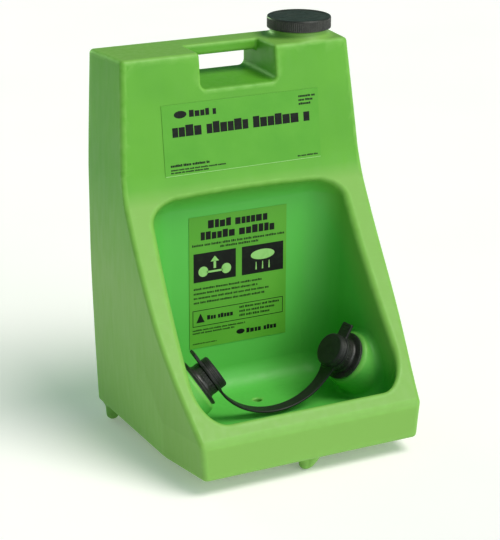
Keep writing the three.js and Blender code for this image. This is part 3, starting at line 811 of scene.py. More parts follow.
@dataclass
class TankShell:
    """The moulded tank: raked front with its bowl, carrying handle, filler collar and feet.

    Sizes are in millimetres: a name in _r is a radius, in _x, _y or _z a place, in _half half a width, and
    the narrowings and rim_land are stations of (share of the height, distance from the full half-width).
    """

    width: float = 393.7
    depth: float = 342.9
    height: float = 571.5
    base_z: float = 23.6
    top_depth: float = 99.5
    break_depth: float = 124.5
    break_z: float = 387.0
    knee_z: float = 79.0
    rake: float = 0.52
    front_corner_r: float = 7.0
    rear_corner_r: float = 6.0
    top_edge_r: float = 6.0
    base_edge_r: float = 6.0
    panel_join_r: float = 8.0
    knee_r: float = 5.0
    rim_r: float = 9.0
    front_narrowing: tuple = ((0, 24), (0.1, 18.5), (0.25, 6.5), (0.35, 1.8), (0.5, 0.8), (0.68, 2.6), (1, 14.4))
    rear_narrowing: tuple = ((0, 8), (0.2, 3.6), (0.45, 0), (0.68, 0), (1, 6.2))
    crease_offset: float = 102.0
    crease_rearmost: float = 159.45
    crease_soft: float = 4.0
    bowl_back_y: float = 69.95
    bowl_front_y: float = -149.95
    bowl_floor_z: float = 50.0
    bowl_top_z: float = 382.0
    rim_land: tuple = ((0, 31), (0.35, 33.5), (0.8, 39.5), (1, 42))
    bowl_back_land: float = 48.0
    ceiling_drop: float = 42.0
    ceiling_reach: float = 26.0
    ceiling_most: float = 1.6
    bowl_back_corner_r: float = 42.0
    bowl_front_corner_r: float = 42.0
    arch_half: float = 125.0
    arch_sag: float = 7.0
    arch_r: float = 34.0
    bowl_floor_r: float = 35.0
    boss_fillet_r: float = 11.0
    drain_y: float = 5.0
    drain_r: float = 6.0
    drain_rim_r: float = 2.5
    notch_front_y: float = 72.0
    notch_half: float = 61.0
    notch_taper: float = 2.5
    notch_floor_z: float = 519.5
    notch_rise: float = 4.0
    notch_corner_r: float = 9.0
    notch_rim_r: float = 4.5
    bar_front_y: float = 127.45
    bar_base_z: float = 554.0
    bar_corner_r: float = 5.5
    bar_join_r: float = 4.0
    cap_x: float = 127.8
    cap_y: float = 122.95
    collar_r: float = 45.9
    collar_top_z: float = 582.5
    collar_waist: float = 3.2
    collar_waist_z: float = 3.5
    collar_edge_r: float = 2.2
    collar_join_r: float = 8.0
    neck_r: float = 42.4
    neck_top_z: float = 594.4
    bore_r: float = 38.4
    bore_foot_z: float = 550.0
    bore_rim_r: float = 1.5
    room_half: tuple = (48, 44, 59)
    room_z: float = 508.0
    room_corner_r: float = 14.0
    feet: tuple = ((0, -145.45), (175.85, 145.45), (-175.85, 145.45))
    foot_tip_r: float = 8.8
    foot_round_r: float = 7.0
    foot_draft: float = 0.09
    web_draft: float = 0.85
    foot_sink: float = 12.0
    foot_join_r: float = 4.0
    thread_pitch: float = 3.6
    thread_depth: float = 0.6
    rim_bend: float = 0.09
    inside_full: float = 55.0
    inside_edge: float = 8.0
    front_edge: float = 6.0
    fade_top: float = 4.0
    fade_span: float = 25.0
    lower_top: float = 10.0
    lower_span: float = 150.0
    step: float = 2.4
    keep: float = 0.36

    def front_face(self, y: Array, z: Array) -> Array:
        """The panel, the slope that rakes out from its foot, and the short skirt.

        Formula: the panel is a plane through two heights; the slope runs forward by rake times the fall
        below the break, plus a share of the fall squared that brings it to the front at the knee.

        Args:
            y: Places from front to back, in millimetres.
            z: Heights.

        Returns:
            The field, negative behind the front.
        """
        top_y, break_y = self.depth / 2 - self.top_depth, self.depth / 2 - self.break_depth
        lean = (top_y - break_y) / (self.height - self.break_z)
        panel = (break_y + lean * (z - self.break_z) - y) / math.hypot(1, lean)
        fall, full = self.break_z - z, self.break_z - self.knee_z
        growth = (break_y + self.depth / 2 - self.rake * full) / full ** 2
        run = self.rake * fall + growth * fall * np.abs(fall)
        slope = (break_y - run - y) / np.sqrt(1 + (self.rake + 2 * growth * np.abs(fall)) ** 2)
        raked = join_round(panel, slope, self.panel_join_r)
        return cut_round(raked, -self.depth / 2 - y + 0 * z, self.knee_r)

    def front_y(self, z: Array) -> Array:
        """Where the front face is at each height, before its corners are rounded.

        Args:
            z: Heights in millimetres.

        Returns:
            The front face's y.
        """
        top_y, break_y = self.depth / 2 - self.top_depth, self.depth / 2 - self.break_depth
        fall, full = self.break_z - z, self.break_z - self.knee_z
        growth = (break_y + self.depth / 2 - self.rake * full) / full ** 2
        down = break_y - self.rake * fall - growth * fall ** 2
        up = break_y + (top_y - break_y) * -fall / (self.height - self.break_z)
        return np.where(fall > 0, np.maximum(down, -self.depth / 2), up)

    def side_face(self, x: Array, y: Array, z: Array) -> Array:
        """The two sides, each of two facets that meet at a soft crease.

        Formula: the half-width is the rear one behind the crease, and falls evenly to the front one at the
        front edge; the kink is smoothed by a hyperbola.

        Args:
            x: Places across, in millimetres.
            y: Places from front to back.
            z: Heights.

        Returns:
            The field, negative between the sides.
        """
        share = (z - self.base_z) / (self.height - self.base_z)
        front = self.width / 2 - np.maximum(0, through_stations(self.front_narrowing, share))
        rear = self.width / 2 - np.maximum(0, through_stations(self.rear_narrowing, share))
        edge = self.front_y(z)
        crease = np.minimum(edge + self.crease_offset, self.crease_rearmost)
        ahead = crease - y
        ahead = (ahead + np.sqrt(ahead ** 2 + self.crease_soft ** 2)) / 2
        lean = (rear - front) / (crease - edge)
        return (np.abs(x) - rear + lean * ahead) / np.sqrt(1 + lean ** 2)

    def body(self, x: Array, y: Array, z: Array) -> Array:
        """The closed outer form, its edges rounded, with the filler collar and feet grown from it.

        Args:
            x: Places across, in millimetres.
            y: Places from front to back.
            z: Heights.

        Returns:
            The field, negative inside.
        """
        form = cut_round(self.front_face(y, z), self.side_face(x, y, z), self.front_corner_r)
        form = cut_round(form, z - self.height, self.top_edge_r)
        form = cut_round(form, self.base_z - z, self.base_edge_r)
        r = np.hypot(x - self.cap_x, y - self.cap_y)
        over = z - self.height
        waist = self.collar_r - self.collar_waist * (1 - np.exp(-np.maximum(over, 0) / self.collar_waist_z))
        collar = cut_round(r - waist, np.abs(over) - (self.collar_top_z - self.height), self.collar_edge_r)
        form = join_round(form, collar, self.collar_join_r)
        form = cut_round(form, y - self.depth / 2, self.rear_corner_r)
        for foot_x, foot_y in self.feet:
            r = np.hypot(x - foot_x, y - foot_y)
            draft = self.web_draft if foot_x == 0 else self.foot_draft
            spread = np.where(x > foot_x, draft * (x - foot_x) / (r + 1), self.foot_draft)
            reach = r - self.foot_tip_r - spread * z
            foot = cut_round(reach, np.maximum(-z, z - self.base_z - self.foot_sink), self.foot_round_r)
            form = join_round(form, foot, self.foot_join_r)
        return form

    def bowl(self, x: Array, y: Array, z: Array) -> Array:
        """The space of the bowl, open to the front.

        Formula: behind the front wall, in front of a back wall that leans forward under its ceiling, between
        two sides that open towards the rim, over the floor and under a nearly flat arch.

        Args:
            x: Places across, in millimetres.
            y: Places from front to back.
            z: Heights.

        Returns:
            The field, negative in the space.
        """
        share = (z - self.bowl_floor_z) / (self.bowl_top_z - self.bowl_floor_z)
        above = np.maximum(0, z - self.bowl_top_z + self.ceiling_drop)
        rise = np.minimum(above / self.ceiling_drop, self.ceiling_most)
        back = self.bowl_back_y - self.ceiling_reach * rise ** 1.5
        lean = self.ceiling_reach * 1.5 * np.sqrt(rise) / self.ceiling_drop
        open_half = self.width / 2 - through_stations(self.rim_land, share)
        back_half = self.width / 2 - self.bowl_back_land
        open_y = np.maximum(self.front_y(z), self.bowl_front_y)
        taper = (open_half - back_half) / (self.bowl_back_y - open_y)
        half = back_half + taper * (self.bowl_back_y - y)
        side = (np.abs(x) - half) / np.sqrt(1 + taper ** 2)
        hollow = cut_round(side, (y - back) / np.sqrt(1 + lean ** 2), self.bowl_back_corner_r)
        hollow = cut_round(hollow, self.bowl_front_y - y, self.bowl_front_corner_r)
        crown = z - self.bowl_top_z + self.arch_sag * (x / self.arch_half) ** 2
        hollow = cut_round(hollow, crown, self.arch_r)
        return cut_round(hollow, self.bowl_floor_z - z, self.bowl_floor_r)

    def handle(self, x: Array, y: Array, z: Array) -> Array:
        """The space of the handle: a notch open to the top and front, and a hand slot under its bar.

        Formula: a block that narrows by its taper and whose floor climbs by its rise in each 100 mm towards
        the back, less the bar.

        Args:
            x: Places across, in millimetres.
            y: Places from front to back.
            z: Heights.

        Returns:
            The field, negative in the space.
        """
        back = (y - self.notch_front_y) / 100
        block = cut_round(np.abs(x) - self.notch_half + self.notch_taper * back,
                          self.notch_floor_z + self.notch_rise * back - z, self.notch_corner_r)
        bar = cut_round(self.bar_front_y - y, self.bar_base_z - z, self.bar_corner_r)
        return cut_round(block, -bar, self.bar_join_r)

    def reservoir(self, x: Array, y: Array, z: Array) -> Array:
        """The part of the water space that shows through the neck, and the neck's bore.

        Args:
            x: Places across, in millimetres.
            y: Places from front to back.
            z: Heights.

        Returns:
            The field, negative in the space.
        """
        r = np.hypot(x - self.cap_x, y - self.cap_y)
        bore = cut_round(r - self.bore_r, self.bore_foot_z - z, 2)
        half_x, half_y, half_z = self.room_half
        room = cut_round(np.abs(x - self.cap_x) - half_x, np.abs(y - self.cap_y) - half_y, self.room_corner_r)
        room = cut_round(room, np.abs(z - self.room_z) - half_z, self.room_corner_r)
        return join_round(bore, room, 4)

    def form(self, x: Array, y: Array, z: Array) -> Array:
        """The whole shell: body, less bowl, handle, bore and drain, each with a rounded rim.

        Args:
            x: Places across, in millimetres.
            y: Places from front to back.
            z: Heights.

        Returns:
            The field, negative inside.
        """
        hollow = self.bowl(x, y, z)
        for side in Side:
            hollow = cut_round(hollow, -NozzlePlace().boss(side, x, y, z), self.boss_fillet_r)
        shell = cut_round(self.body(x, y, z), -hollow, self.rim_r)
        shell = cut_round(shell, -self.handle(x, y, z), self.notch_rim_r)
        shell = cut_round(shell, -self.reservoir(x, y, z), self.bore_rim_r)
        drain = np.hypot(x, y - self.drain_y) - self.drain_r + 0 * z
        return cut_round(shell, -drain, self.drain_rim_r)

    def build(self, finishes: "Finishes") -> list[bpy.types.Object]:
        """Make the shell's skin and mark on it the rounded rims, the inside of the bowl, and the lower part with
        the raked slope and top deck, where the finish paints highlight, shade and light.

        Args:
            finishes: The finishes to dress it in.

        Returns:
            The skin and the filler neck.
        """
        half_w, half_d = self.width / 2, self.depth / 2
        surface = LevelSurface(self.form, (-half_w, -half_d, 0), (half_w, half_d, self.collar_top_z),
                               self.step, self.keep)
        skin = surface.build("tank_skin")
        points = points_of(skin)
        x, y, z = points.T
        front, bowl = self.front_face(y, z), self.bowl(x, y, z)
        # The rim mark: bulging edges, which the finish paints paler, partly wear and partly painted highlight.
        mark(skin, "rim", surface.rims(points, self.rim_bend))
        # The inside mark: deep in the bowl, where the finish paints the bowl's shade.
        depth, near = np.clip(-front / self.inside_full, 0, 1), np.clip(1 - bowl / self.inside_edge, 0, 1)
        mark(skin, "inside", depth * near)
        # The low mark: the lower body, the raked slope and the top deck, which the finish paints paler as painted
        # light.
        on_front = np.clip(1 + front / self.front_edge, 0, 1)
        slope = on_front * np.clip((self.break_z + self.fade_top - z) / self.fade_span, 0, 1)
        lower = (self.break_z + self.lower_top - z) / self.lower_span
        deck = (z - self.height + self.fade_top) / self.fade_top
        mark(skin, "low", np.maximum(np.maximum(lower, slope), deck))
        finishes.dress(skin, Finish.TANK)
        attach(skin, "tank")
        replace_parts(skin, "tank_shell")
        return [skin, self.neck(finishes)]

    def neck(self, finishes: "Finishes") -> bpy.types.Object:
        """The filler neck above its collar, with a helical thread.

        Formula: the outer radius sinks by half a millimetre where the height, less the part of a turn
        times the pitch, falls between the thread's ridges.

        Args:
            finishes: The finishes to dress it in.

        Returns:
            The neck.
        """
        low, high = self.collar_top_z - 0.3, self.neck_top_z
        profile = rounded_profile([(self.bore_r, low, 0), (self.neck_r, low, 0), (self.neck_r, high, 1.2),
                                   (self.bore_r, high, 1.2)], 5, True)
        outer = np.c_[np.full(40, self.neck_r), np.linspace(low, high - 1.3, 40)]
        profile = np.concatenate([profile[:1], outer, profile[profile[:, 1] > high - 1.25]])

        def thread(r: Array, z: Array, a: Array) -> Array:
            """Depth of the groove between the thread's ridges.

            Args:
                r: Radii before the groove is cut.
                z: Heights.
                a: Angles.

            Returns:
                Depths, 0 off the thread.
            """
            turn = (z / self.thread_pitch - a / (2 * math.pi)) % 1
            groove = np.clip(1.6 * np.abs(2 * turn - 1) - 0.2, 0, 1)
            return self.thread_depth * groove * (r > self.neck_r - 0.1) * np.clip((high - 1.5 - z) / 1.5, 0, 1)

        points, faces = turned(profile, 144, thread)
        neck = new_object("filler_neck", points + [self.cap_x, self.cap_y, 0], faces)
        finishes.dress(neck, Finish.TANK)
        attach(neck, "tank")
        return neck


# ---------------------------------------------------------------- nozzles

class Side(Enum):
    """The two sides of the station."""

    LEFT = -1
    RIGHT = 1

    @property
    def word(self) -> str:
        """The side's name as the CAD nodes spell it."""
        return self.name.lower()


@dataclass(frozen=True)
class NozzlePlace:
    """Where the two nozzles sit: local +Z is the spray axis, +Y points up the flange, 0 is its middle."""

    x: float = 118.7
    y: float = -42.0
    z: float = 116.5
    rise: float = 32.9
    forward: float = 8.7
    boss_face: float = -4.0
    boss_face_r: float = 40.0
    boss_flare: float = 0.2078
    boss_slant: float = 1.021
    boss_edge_r: float = 5.0

    def frame(self, side: Side) -> tuple[Array, Array]:
        """The nozzle's own axes and where they start.

        Args:
            side: Which nozzle.

        Returns:
            The axes as columns, and the origin.
        """
        rise, forward = math.radians(self.rise), math.radians(self.forward)
        axis = np.array([
            -side.value * math.cos(rise) * math.cos(forward), -math.cos(rise) * math.sin(forward), math.sin(rise),
        ])
        up = np.array([0, 0, 1]) - axis * axis[2]
        up /= np.linalg.norm(up)
        origin = np.array([side.value * self.x, self.y, self.z])
        return np.stack([np.cross(up, axis), up, axis], axis=1), origin

    def put(self, points: Array, side: Side) -> Array:
        """Carry local points to their place on the station."""
        axes, origin = self.frame(side)
        return points @ axes.T + origin

    def boss(self, side: Side, x: Array, y: Array, z: Array) -> Array:
        """The swelling of the bowl wall under a flange: a cone that widens away from its flat face.

        Args:
            side: Which nozzle.
            x: Places across, in millimetres.
            y: Places from front to back.
            z: Heights.

        Returns:
            The field, negative inside.
        """
        axes, origin = self.frame(side)
        local = [(x - origin[0]) * a[0] + (y - origin[1]) * a[1] + (z - origin[2]) * a[2] for a in axes.T]
        r = np.hypot(local[0], local[1])
        cone = (r - self.boss_face_r + self.boss_flare * (local[2] - self.boss_face)) / self.boss_slant
        return cut_round(cone, local[2] - self.boss_face, self.boss_edge_r)


@dataclass
class SprayNozzle:
    """A black nozzle body: flange, ring, and the spigot that its rubber cap sits on."""

    flange_r: float = 36.5
    ring_r: float = 25.5
    ring_top: float = 15.0
    spigot_r: float = 19.0
    spigot_top: float = 26.5
    bore_r: float = 15.5
    shank_r: float = 18.5
    shank_end: float = -20.6
    flute_count: int = 36
    flute_depth: float = 0.22
    sides: int = 216

    def profile(self) -> Array:
        """The body's section, from its inner end round to its bore.

        Returns:
            The section's points (r, z).
        """
        corners = [
            (self.bore_r, self.shank_end, 0.6), (self.shank_r, self.shank_end, 0.8), (self.shank_r, -2, 0),
            (self.flange_r, -2, 0.7), (self.flange_r, 1.1, 0.8), (self.flange_r - 4.5, 2, 2),
            (self.ring_r + 1.2, 2, 2.2), (self.ring_r - 0.4, 6.5, 2), (self.ring_r, 9.2, 0.5),
            (self.ring_r, self.ring_top, 1.6), (self.spigot_r, self.ring_top, 0.8),
            (self.spigot_r, self.spigot_top, 1), (self.bore_r, self.spigot_top, 0.8),
        ]
        return rounded_profile(corners, 6, True)

    def build(self, side: Side, finishes: "Finishes") -> bpy.types.Object:
        """Make one nozzle body, with fine grip flutes on its ring.

        Formula: the radius sinks by the cosine of the angle times the number of flutes, on the ring only.

        Args:
            side: Which nozzle.
            finishes: The finishes to dress it in.

        Returns:
            The nozzle body.
        """
        def flutes(r: Array, z: Array, a: Array) -> Array:
            """Depth of the grip flutes.

            Args:
                r: Radii before the flutes are cut.
                z: Places along the axis.
                a: Angles.

            Returns:
                Depths, 0 off the ring.
            """
            on_ring = (r > self.ring_r - 1) & (r < self.ring_r + 0.1) & (z > 9) & (z < self.ring_top)
            return self.flute_depth * (1 - np.cos(self.flute_count * a)) * on_ring

        points, faces = turned(self.profile(), self.sides, flutes)
        body = new_object(f"nozzle_{side.word}", NozzlePlace().put(points, side), faces)
        finishes.dress(body, Finish.HARD_BLACK)
        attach(body, "tank")
        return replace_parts(body, f"nozzle_body_{side.word}")


@dataclass
class RubberCap:
    """The cup-shaped rubber cap on a nozzle, its ribbed drum, base ring, pull tab and strap root."""

    base_z: float = 15.5
    base_r: float = 27.5
    drum_r: float = 25.5
    top_z: float = 32.0
    bore_r: float = 19.5
    roof_z: float = 29.0
    tab_reach: float = 46.5
    tab_half: float = 10.5
    tab_t: float = 4.6
    tab_middle: float = 32.0
    tab_taper: float = 0.02
    ridge_pitch: float = 4.0
    ridge_height: float = 0.45
    ridge_half: float = 7.5
    root_half: float = 14.1
    root_taper: float = 0.15
    root_y: float = -22.0
    root_reach: float = 6.0
    rib_pitch: float = 2.3
    rib_depth: float = 0.45
    dome_sag: float = 0.9
    drum_edge_r: float = 3.6
    dish_centre: float = 28.6
    dish_r: float = 34.6
    dish_flat: float = 1.2
    step: float = 0.52
    keep: float = 0.36

    def form(self, x: Array, y: Array, z: Array) -> Array:
        """The cap about its own axis.

        Formula: a disc and a drum under a low dome, joined by fillets to two flat tongues, less its bore;
        the drum's radius sinks by a cosine of the height to give its ribs.

        Args:
            x: Places across the cap, in millimetres.
            y: Places along its tab.
            z: Places along its axis.

        Returns:
            The field, negative inside.
        """
        r = np.hypot(x, y)
        half_t = self.tab_t / 2
        middle = self.base_z + half_t
        slab = np.abs(z - middle) - half_t
        base = cut_round(r - self.base_r, slab, 1.1)
        ribs = self.rib_depth * (1 - np.cos(2 * math.pi * (z - self.base_z) / self.rib_pitch)) / 2
        dome = z - self.top_z + self.dome_sag * (r / self.drum_r) ** 2
        drum = cut_round(cut_round(r - self.drum_r + ribs, dome, self.drum_edge_r), self.base_z + 1 - z, 0.5)
        dish = np.hypot(r, self.dish_flat * (z - self.top_z - self.dish_centre)) - self.dish_r
        drum = cut_round(drum, -dish, 0.8)
        cap = join_round(base, drum, 0.7)
        past = y - self.base_r - 6
        across = (past % self.ridge_pitch - self.ridge_pitch / 2) / 0.8
        ridge = self.ridge_height * np.exp(-across ** 2) * (y > self.base_r + 6)
        along = np.abs(y - self.tab_middle) - (self.tab_reach - self.tab_middle)
        tab = cut_round(np.abs(x) - self.tab_half + self.tab_taper * (y - 30), along, 2.2)
        tab = cut_round(tab, slab - ridge * (np.abs(x) < self.ridge_half), 1.2)
        cap = join_round(cap, tab, 1.2)
        root_x = np.abs(x) - self.root_half - self.root_taper * (y + self.base_r)
        root = cut_round(root_x, np.abs(y - self.root_y) - self.root_reach, 1.2)
        cap = join_round(cap, cut_round(root, np.abs(z - self.base_z - 2) - 2, 1.1), 1.0)
        bore = cut_round(r - self.bore_r, z - self.roof_z, 1.5)
        return cut_round(cap, -bore, 0.6)

    def build(self, side: Side, finishes: "Finishes") -> bpy.types.Object:
        """Make one cap on its nozzle.

        Args:
            side: Which nozzle it closes.
            finishes: The finishes to dress it in.

        Returns:
            The cap.
        """
        low, high = (-28, -28.5, self.base_z), (28, self.tab_reach, self.top_z)
        surface = LevelSurface(self.form, low, high, self.step, self.keep)
        cap = surface.build(f"rubber_cap_{side.word}")
        mesh, points = cap.data, points_of(cap)
        _, normal = surface.slope(points)
        normal /= np.linalg.norm(normal, axis=1, keepdims=True)
        axes, _ = NozzlePlace().frame(side)
        mesh.vertices.foreach_set("co", (NozzlePlace().put(points, side) * MM).ravel())
        mesh.normals_split_custom_set_from_vertices((normal @ axes.T).tolist())
        mesh.update()
        finishes.dress(cap, Finish.RUBBER)
        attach(cap, f"nozzle_cap_{side.word}")
        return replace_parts(cap, f"nozzle_cap_{side.word}")


@dataclass
class PullStrap:
    """The moulded rubber band that joins the two caps, hung between their lower edges."""

    half_width: float = 10.0
    flare: float = 4.0
    thickness: float = 4.0
    start_r: float = 28.2
    start_z: float = 17.5
    reach: float = 72.0
    flare_power: int = 8
    width_power: float = 0.3
    thick_power: float = 0.55
    web_share: float = 0.86
    bead_share: float = 0.14
    rings: int = 161
    sides: int = 48

    def path(self, t: Array) -> tuple[Array, Array]:
        """The band's middle line and its direction.

        Formula: a cubic Bezier curve whose ends head down the slope of each flange.

        Args:
            t: Shares of the way from the left cap to the right.

        Returns:
            Points on the line, and unit directions along it.
        """
        place = NozzlePlace()
        ends = [place.put(np.array([[0, -self.start_r, self.start_z]]), side)[0] for side in Side]
        pulls = [end - self.reach * place.frame(side)[0][:, 1] for end, side in zip(ends, Side)]
        p = np.array([ends[0], pulls[0], pulls[1], ends[1]])
        t = t[:, None]
        s = 1 - t
        at = s ** 3 * p[0] + 3 * s * s * t * p[1] + 3 * s * t * t * p[2] + t ** 3 * p[3]
        way = s * s * (p[1] - p[0]) + 2 * s * t * (p[2] - p[1]) + t * t * (p[3] - p[2])
        return at, way / np.linalg.norm(way, axis=1, keepdims=True)

    def build(self, finishes: "Finishes") -> bpy.types.Object:
        """Make the band.

        Formula: a flattened ring of points, a superellipse with thicker edges, is carried along the path;
        its width grows by the eighth power of the distance from the middle, so it flares at its ends.

        Args:
            finishes: The finishes to dress it in.

        Returns:
            The band.
        """
        t = (1 - np.cos(np.linspace(0, math.pi, self.rings))) / 2
        at, way = self.path(t)
        place = NozzlePlace()
        left = place.frame(Side.LEFT)[0][:, 0]
        right = -place.frame(Side.RIGHT)[0][:, 0]
        across = left * (1 - t[:, None]) + right * t[:, None]
        across /= np.linalg.norm(across, axis=1, keepdims=True)
        thick = np.cross(way, across)
        thick /= np.linalg.norm(thick, axis=1, keepdims=True)
        half = self.half_width + self.flare * (2 * t - 1) ** self.flare_power
        a = np.arange(self.sides) * 2 * math.pi / self.sides
        u = np.sign(np.cos(a)) * np.abs(np.cos(a)) ** self.width_power
        v = np.sign(np.sin(a)) * np.abs(np.sin(a)) ** self.thick_power
        edge = self.web_share + self.bead_share * np.clip((np.abs(u) - 0.62) / 0.2, 0, 1)
        across_part = (half[:, None] * u)[..., None] * across[:, None]
        thick_part = (self.thickness / 2 * v * edge)[None, :, None] * thick[:, None]
        points = at[:, None] + across_part + thick_part
        count = self.rings * self.sides
        faces = grid_faces(self.rings, self.sides, False, True)[:, ::-1].tolist()
        ring = np.arange(self.sides)
        faces += [ring.tolist(), (count - 1 - ring).tolist()]
        band = new_object("strap_band", points.reshape(-1, 3), faces)
        soften_ends = band.modifiers.new("ends", "BEVEL")
        soften_ends.width, soften_ends.segments = 0.5 * MM, 2
        soften_ends.limit_method, soften_ends.angle_limit = "ANGLE", math.radians(60)
        finishes.dress(band, Finish.RUBBER)
        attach(band, "pull_strap")
        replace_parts(band, "pull_strap")
        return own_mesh(band)


# ---------------------------------------------------------------- filler cap

@dataclass
class FillerCap:
    """The black screw cap: fine ribs round its skirt and a pebbled top with a raised border."""

    x: float = 127.8
    y: float = 122.95
    radius: float = 47.9
    base_z: float = 583.0
    top_z: float = 600.0
    inner_r: float = 42.9
    roof_z: float = 597.0
    ribs: int = 96
    rib_depth: float = 0.55

    def build(self, finishes: "Finishes") -> bpy.types.Object:
        """Make the cap.

        Formula: the radius of the skirt sinks by a rounded cosine of the angle times the number of ribs,
        fading out towards its top edge and its foot.

        Args:
            finishes: The finishes to dress it in.

        Returns:
            The cap.
        """
        corners = [
            (0, self.roof_z, 0), (self.inner_r, self.roof_z, 1.2), (self.inner_r, self.base_z, 0.4),
            (self.radius, self.base_z, 0.8), (self.radius, self.top_z, 2.6),
            (self.radius - 5.5, self.top_z, 0.8), (self.radius - 6.3, self.top_z - 0.7, 0.8),
            (0, self.top_z - 0.7, 0),
        ]
        profile = rounded_profile(corners, 8, False)
        skirt = np.c_[np.full(14, self.radius), np.linspace(self.base_z + 0.9, self.top_z - 2.8, 14)]
        at = int(np.argmax((profile[:, 0] > self.radius - 0.01) & (profile[:, 1] > self.base_z + 1)))
        profile = np.concatenate([profile[:at], skirt, profile[at:]])

        def ribbing(r: Array, z: Array, a: Array) -> Array:
            """Depth between the ribs.

            Args:
                r: Radii before the ribs are cut.
                z: Heights.
                a: Angles.

            Returns:
                Depths, 0 off the skirt.
            """
            fade = np.clip((self.top_z - 2.2 - z) / 1.2, 0, 1) * np.clip((z - self.base_z - 1.2) / 0.8, 0, 1)
            wave = np.clip(0.5 - 0.8 * np.cos(self.ribs * a), 0, 1)
            return self.rib_depth * wave * fade * (r > self.radius - 0.5)

        points, faces = turned(profile, self.ribs * 8, ribbing)
        cap = new_object("screw_cap", points + [self.x, self.y, 0], faces)
        finishes.dress(cap, Finish.HARD_BLACK)
        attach(cap, "filler_cap")
        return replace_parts(cap, "filler_cap")


# ---------------------------------------------------------------- labels

@dataclass
class Print:
    """Ink shapes laid out on a label in its own plane: x across, z up from its foot, in millimetres."""

    shapes: list = field(default_factory=list)

    def bar(self, x0: float, z0: float, x1: float, z1: float) -> None:
        """Add one bar."""
        self.shapes.append([[x0, z0], [x1, z0], [x1, z1], [x0, z1]])

    def frame(self, x0: float, z0: float, x1: float, z1: float, line: float) -> None:
        """Add an outlined box of that line width.

        Args:
            x0: Its left.
            z0: Its foot.
            x1: Its right.
            z1: Its top.
            line: Width of its line.
        """
        self.bar(x0, z0, x1, z0 + line)
        self.bar(x0, z1 - line, x1, z1)
        self.bar(x0, z0 + line, x0 + line, z1 - line)
        self.bar(x1 - line, z0 + line, x1, z1 - line)

    def words(self, x0: float, x1: float, z: float, size: float, seed: int, share: float = 0.72) -> None:
        """Add a line of blank word shapes: runs of short strokes with gaps between, no letters.

        Formula: stroke widths are drawn evenly between two limits from a fixed seed; every few strokes a
        wider gap stands for the space between words.

        Args:
            x0: Where the line starts.
            x1: Where it has to end.
            z: Its foot.
            size: Its height.
            seed: Seed of its draws.
            share: Share of each step that is inked.
        """
        draw = np.random.default_rng(seed)
        count = max(2, int((x1 - x0) / (size * 0.78)))
        step = draw.uniform(0.62, 0.95, count) * size
        gap = np.zeros(count)
        breaks = np.cumsum(draw.integers(3, 9, count))
        gap[breaks[breaks < count]] = 0.45 * size
        start = x0 + np.cumsum(step + gap) - step
        scale = (x1 - x0) / (start[-1] + step[-1] - x0)
        start, step = x0 + (start - x0) * scale, step * scale
        tall = size * np.where(draw.random(count) < 0.3, 1.0, 0.84)
        end = start + step * share
        quads = np.stack([np.stack([start, start * 0 + z], 1), np.stack([end, end * 0 + z], 1),
                          np.stack([end, z + tall], 1), np.stack([start, z + tall], 1)], axis=1)
        self.shapes.extend(quads.tolist())

    def disc(self, x: float, z: float, rx: float, rz: float, slices: int = 16) -> None:
        """Add an oval, as level slices.

        Args:
            x: Its middle across.
            z: Its middle up.
            rx: Half its width.
            rz: Half its height.
            slices: Number of slices.
        """
        a = np.linspace(-math.pi / 2, math.pi / 2, slices + 1)
        half, level = rx * np.cos(a), z + rz * np.sin(a)
        left, right = np.stack([x - half, level], 1), np.stack([x + half, level], 1)
        quads = np.stack([left[:-1], right[:-1], right[1:], left[1:]], axis=1)
        self.shapes.extend(quads.tolist())


@dataclass
class Label:
    """A film label on the tank and the ink on it. The film is the CAD node, dressed."""

    node: str
    half_w: float
    ink: Print
    pale: Print
    lean: float
    top: tuple[float, float]
    drop: float
    height: float
    ink_t: float = 0.06
    ink_face: float = 0.8
    pale_lift: float = 0.07

    def place(self, points: Array) -> Array:
        """Carry label points (x across, y out, z up from its foot) onto the label's face.

        Formula: shift down from the top edge of the face, turn back by the lean about X, shift to the top.

        Args:
            points: Points on the label, one row each.

        Returns:
            The points on the station.
        """
        x, y, z = points.T
        z = z - self.drop - self.height
        c, s = math.cos(self.lean), math.sin(self.lean)
        return np.stack([x, self.top[0] + y * c + z * s, self.top[1] - y * s + z * c], axis=1)

    def layer(
        self, name: str, art: Print, lift: float, finish: Finish, finishes: "Finishes"
    ) -> bpy.types.Object:
        """Make one layer of ink, lift millimetres over the film.

        Args:
            name: The layer's name.
            art: The shapes to print.
            lift: How far it stands over the film.
            finish: The ink.
            finishes: The finishes to dress it in.

        Returns:
            The layer.
        """
        points, faces = plates(np.array(art.shapes), self.ink_t)
        points = self.place(points - [0, self.ink_face + lift, 0])
        layer = new_object(name, points, faces, smooth=False)
        finishes.dress(layer, finish)
        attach(layer, "tank")
        return layer

    def build(self, finishes: "Finishes") -> list[bpy.types.Object]:
        """Make the label's layers of ink and dress its film.

        Args:
            finishes: The finishes to dress it in.

        Returns:
            The layers.
        """
        finishes.dress(bpy.data.objects[self.node], Finish.FILM)
        made = [self.layer(f"{self.node}_ink", self.ink, 0.0, Finish.INK, finishes)]
        # The pale layer: pale print, and on the front label a painted highlight along its foot.
        if self.pale.shapes:
            made.append(self.layer(f"{self.node}_pale", self.pale, self.pale_lift, Finish.PALE_INK, finishes))
        return made


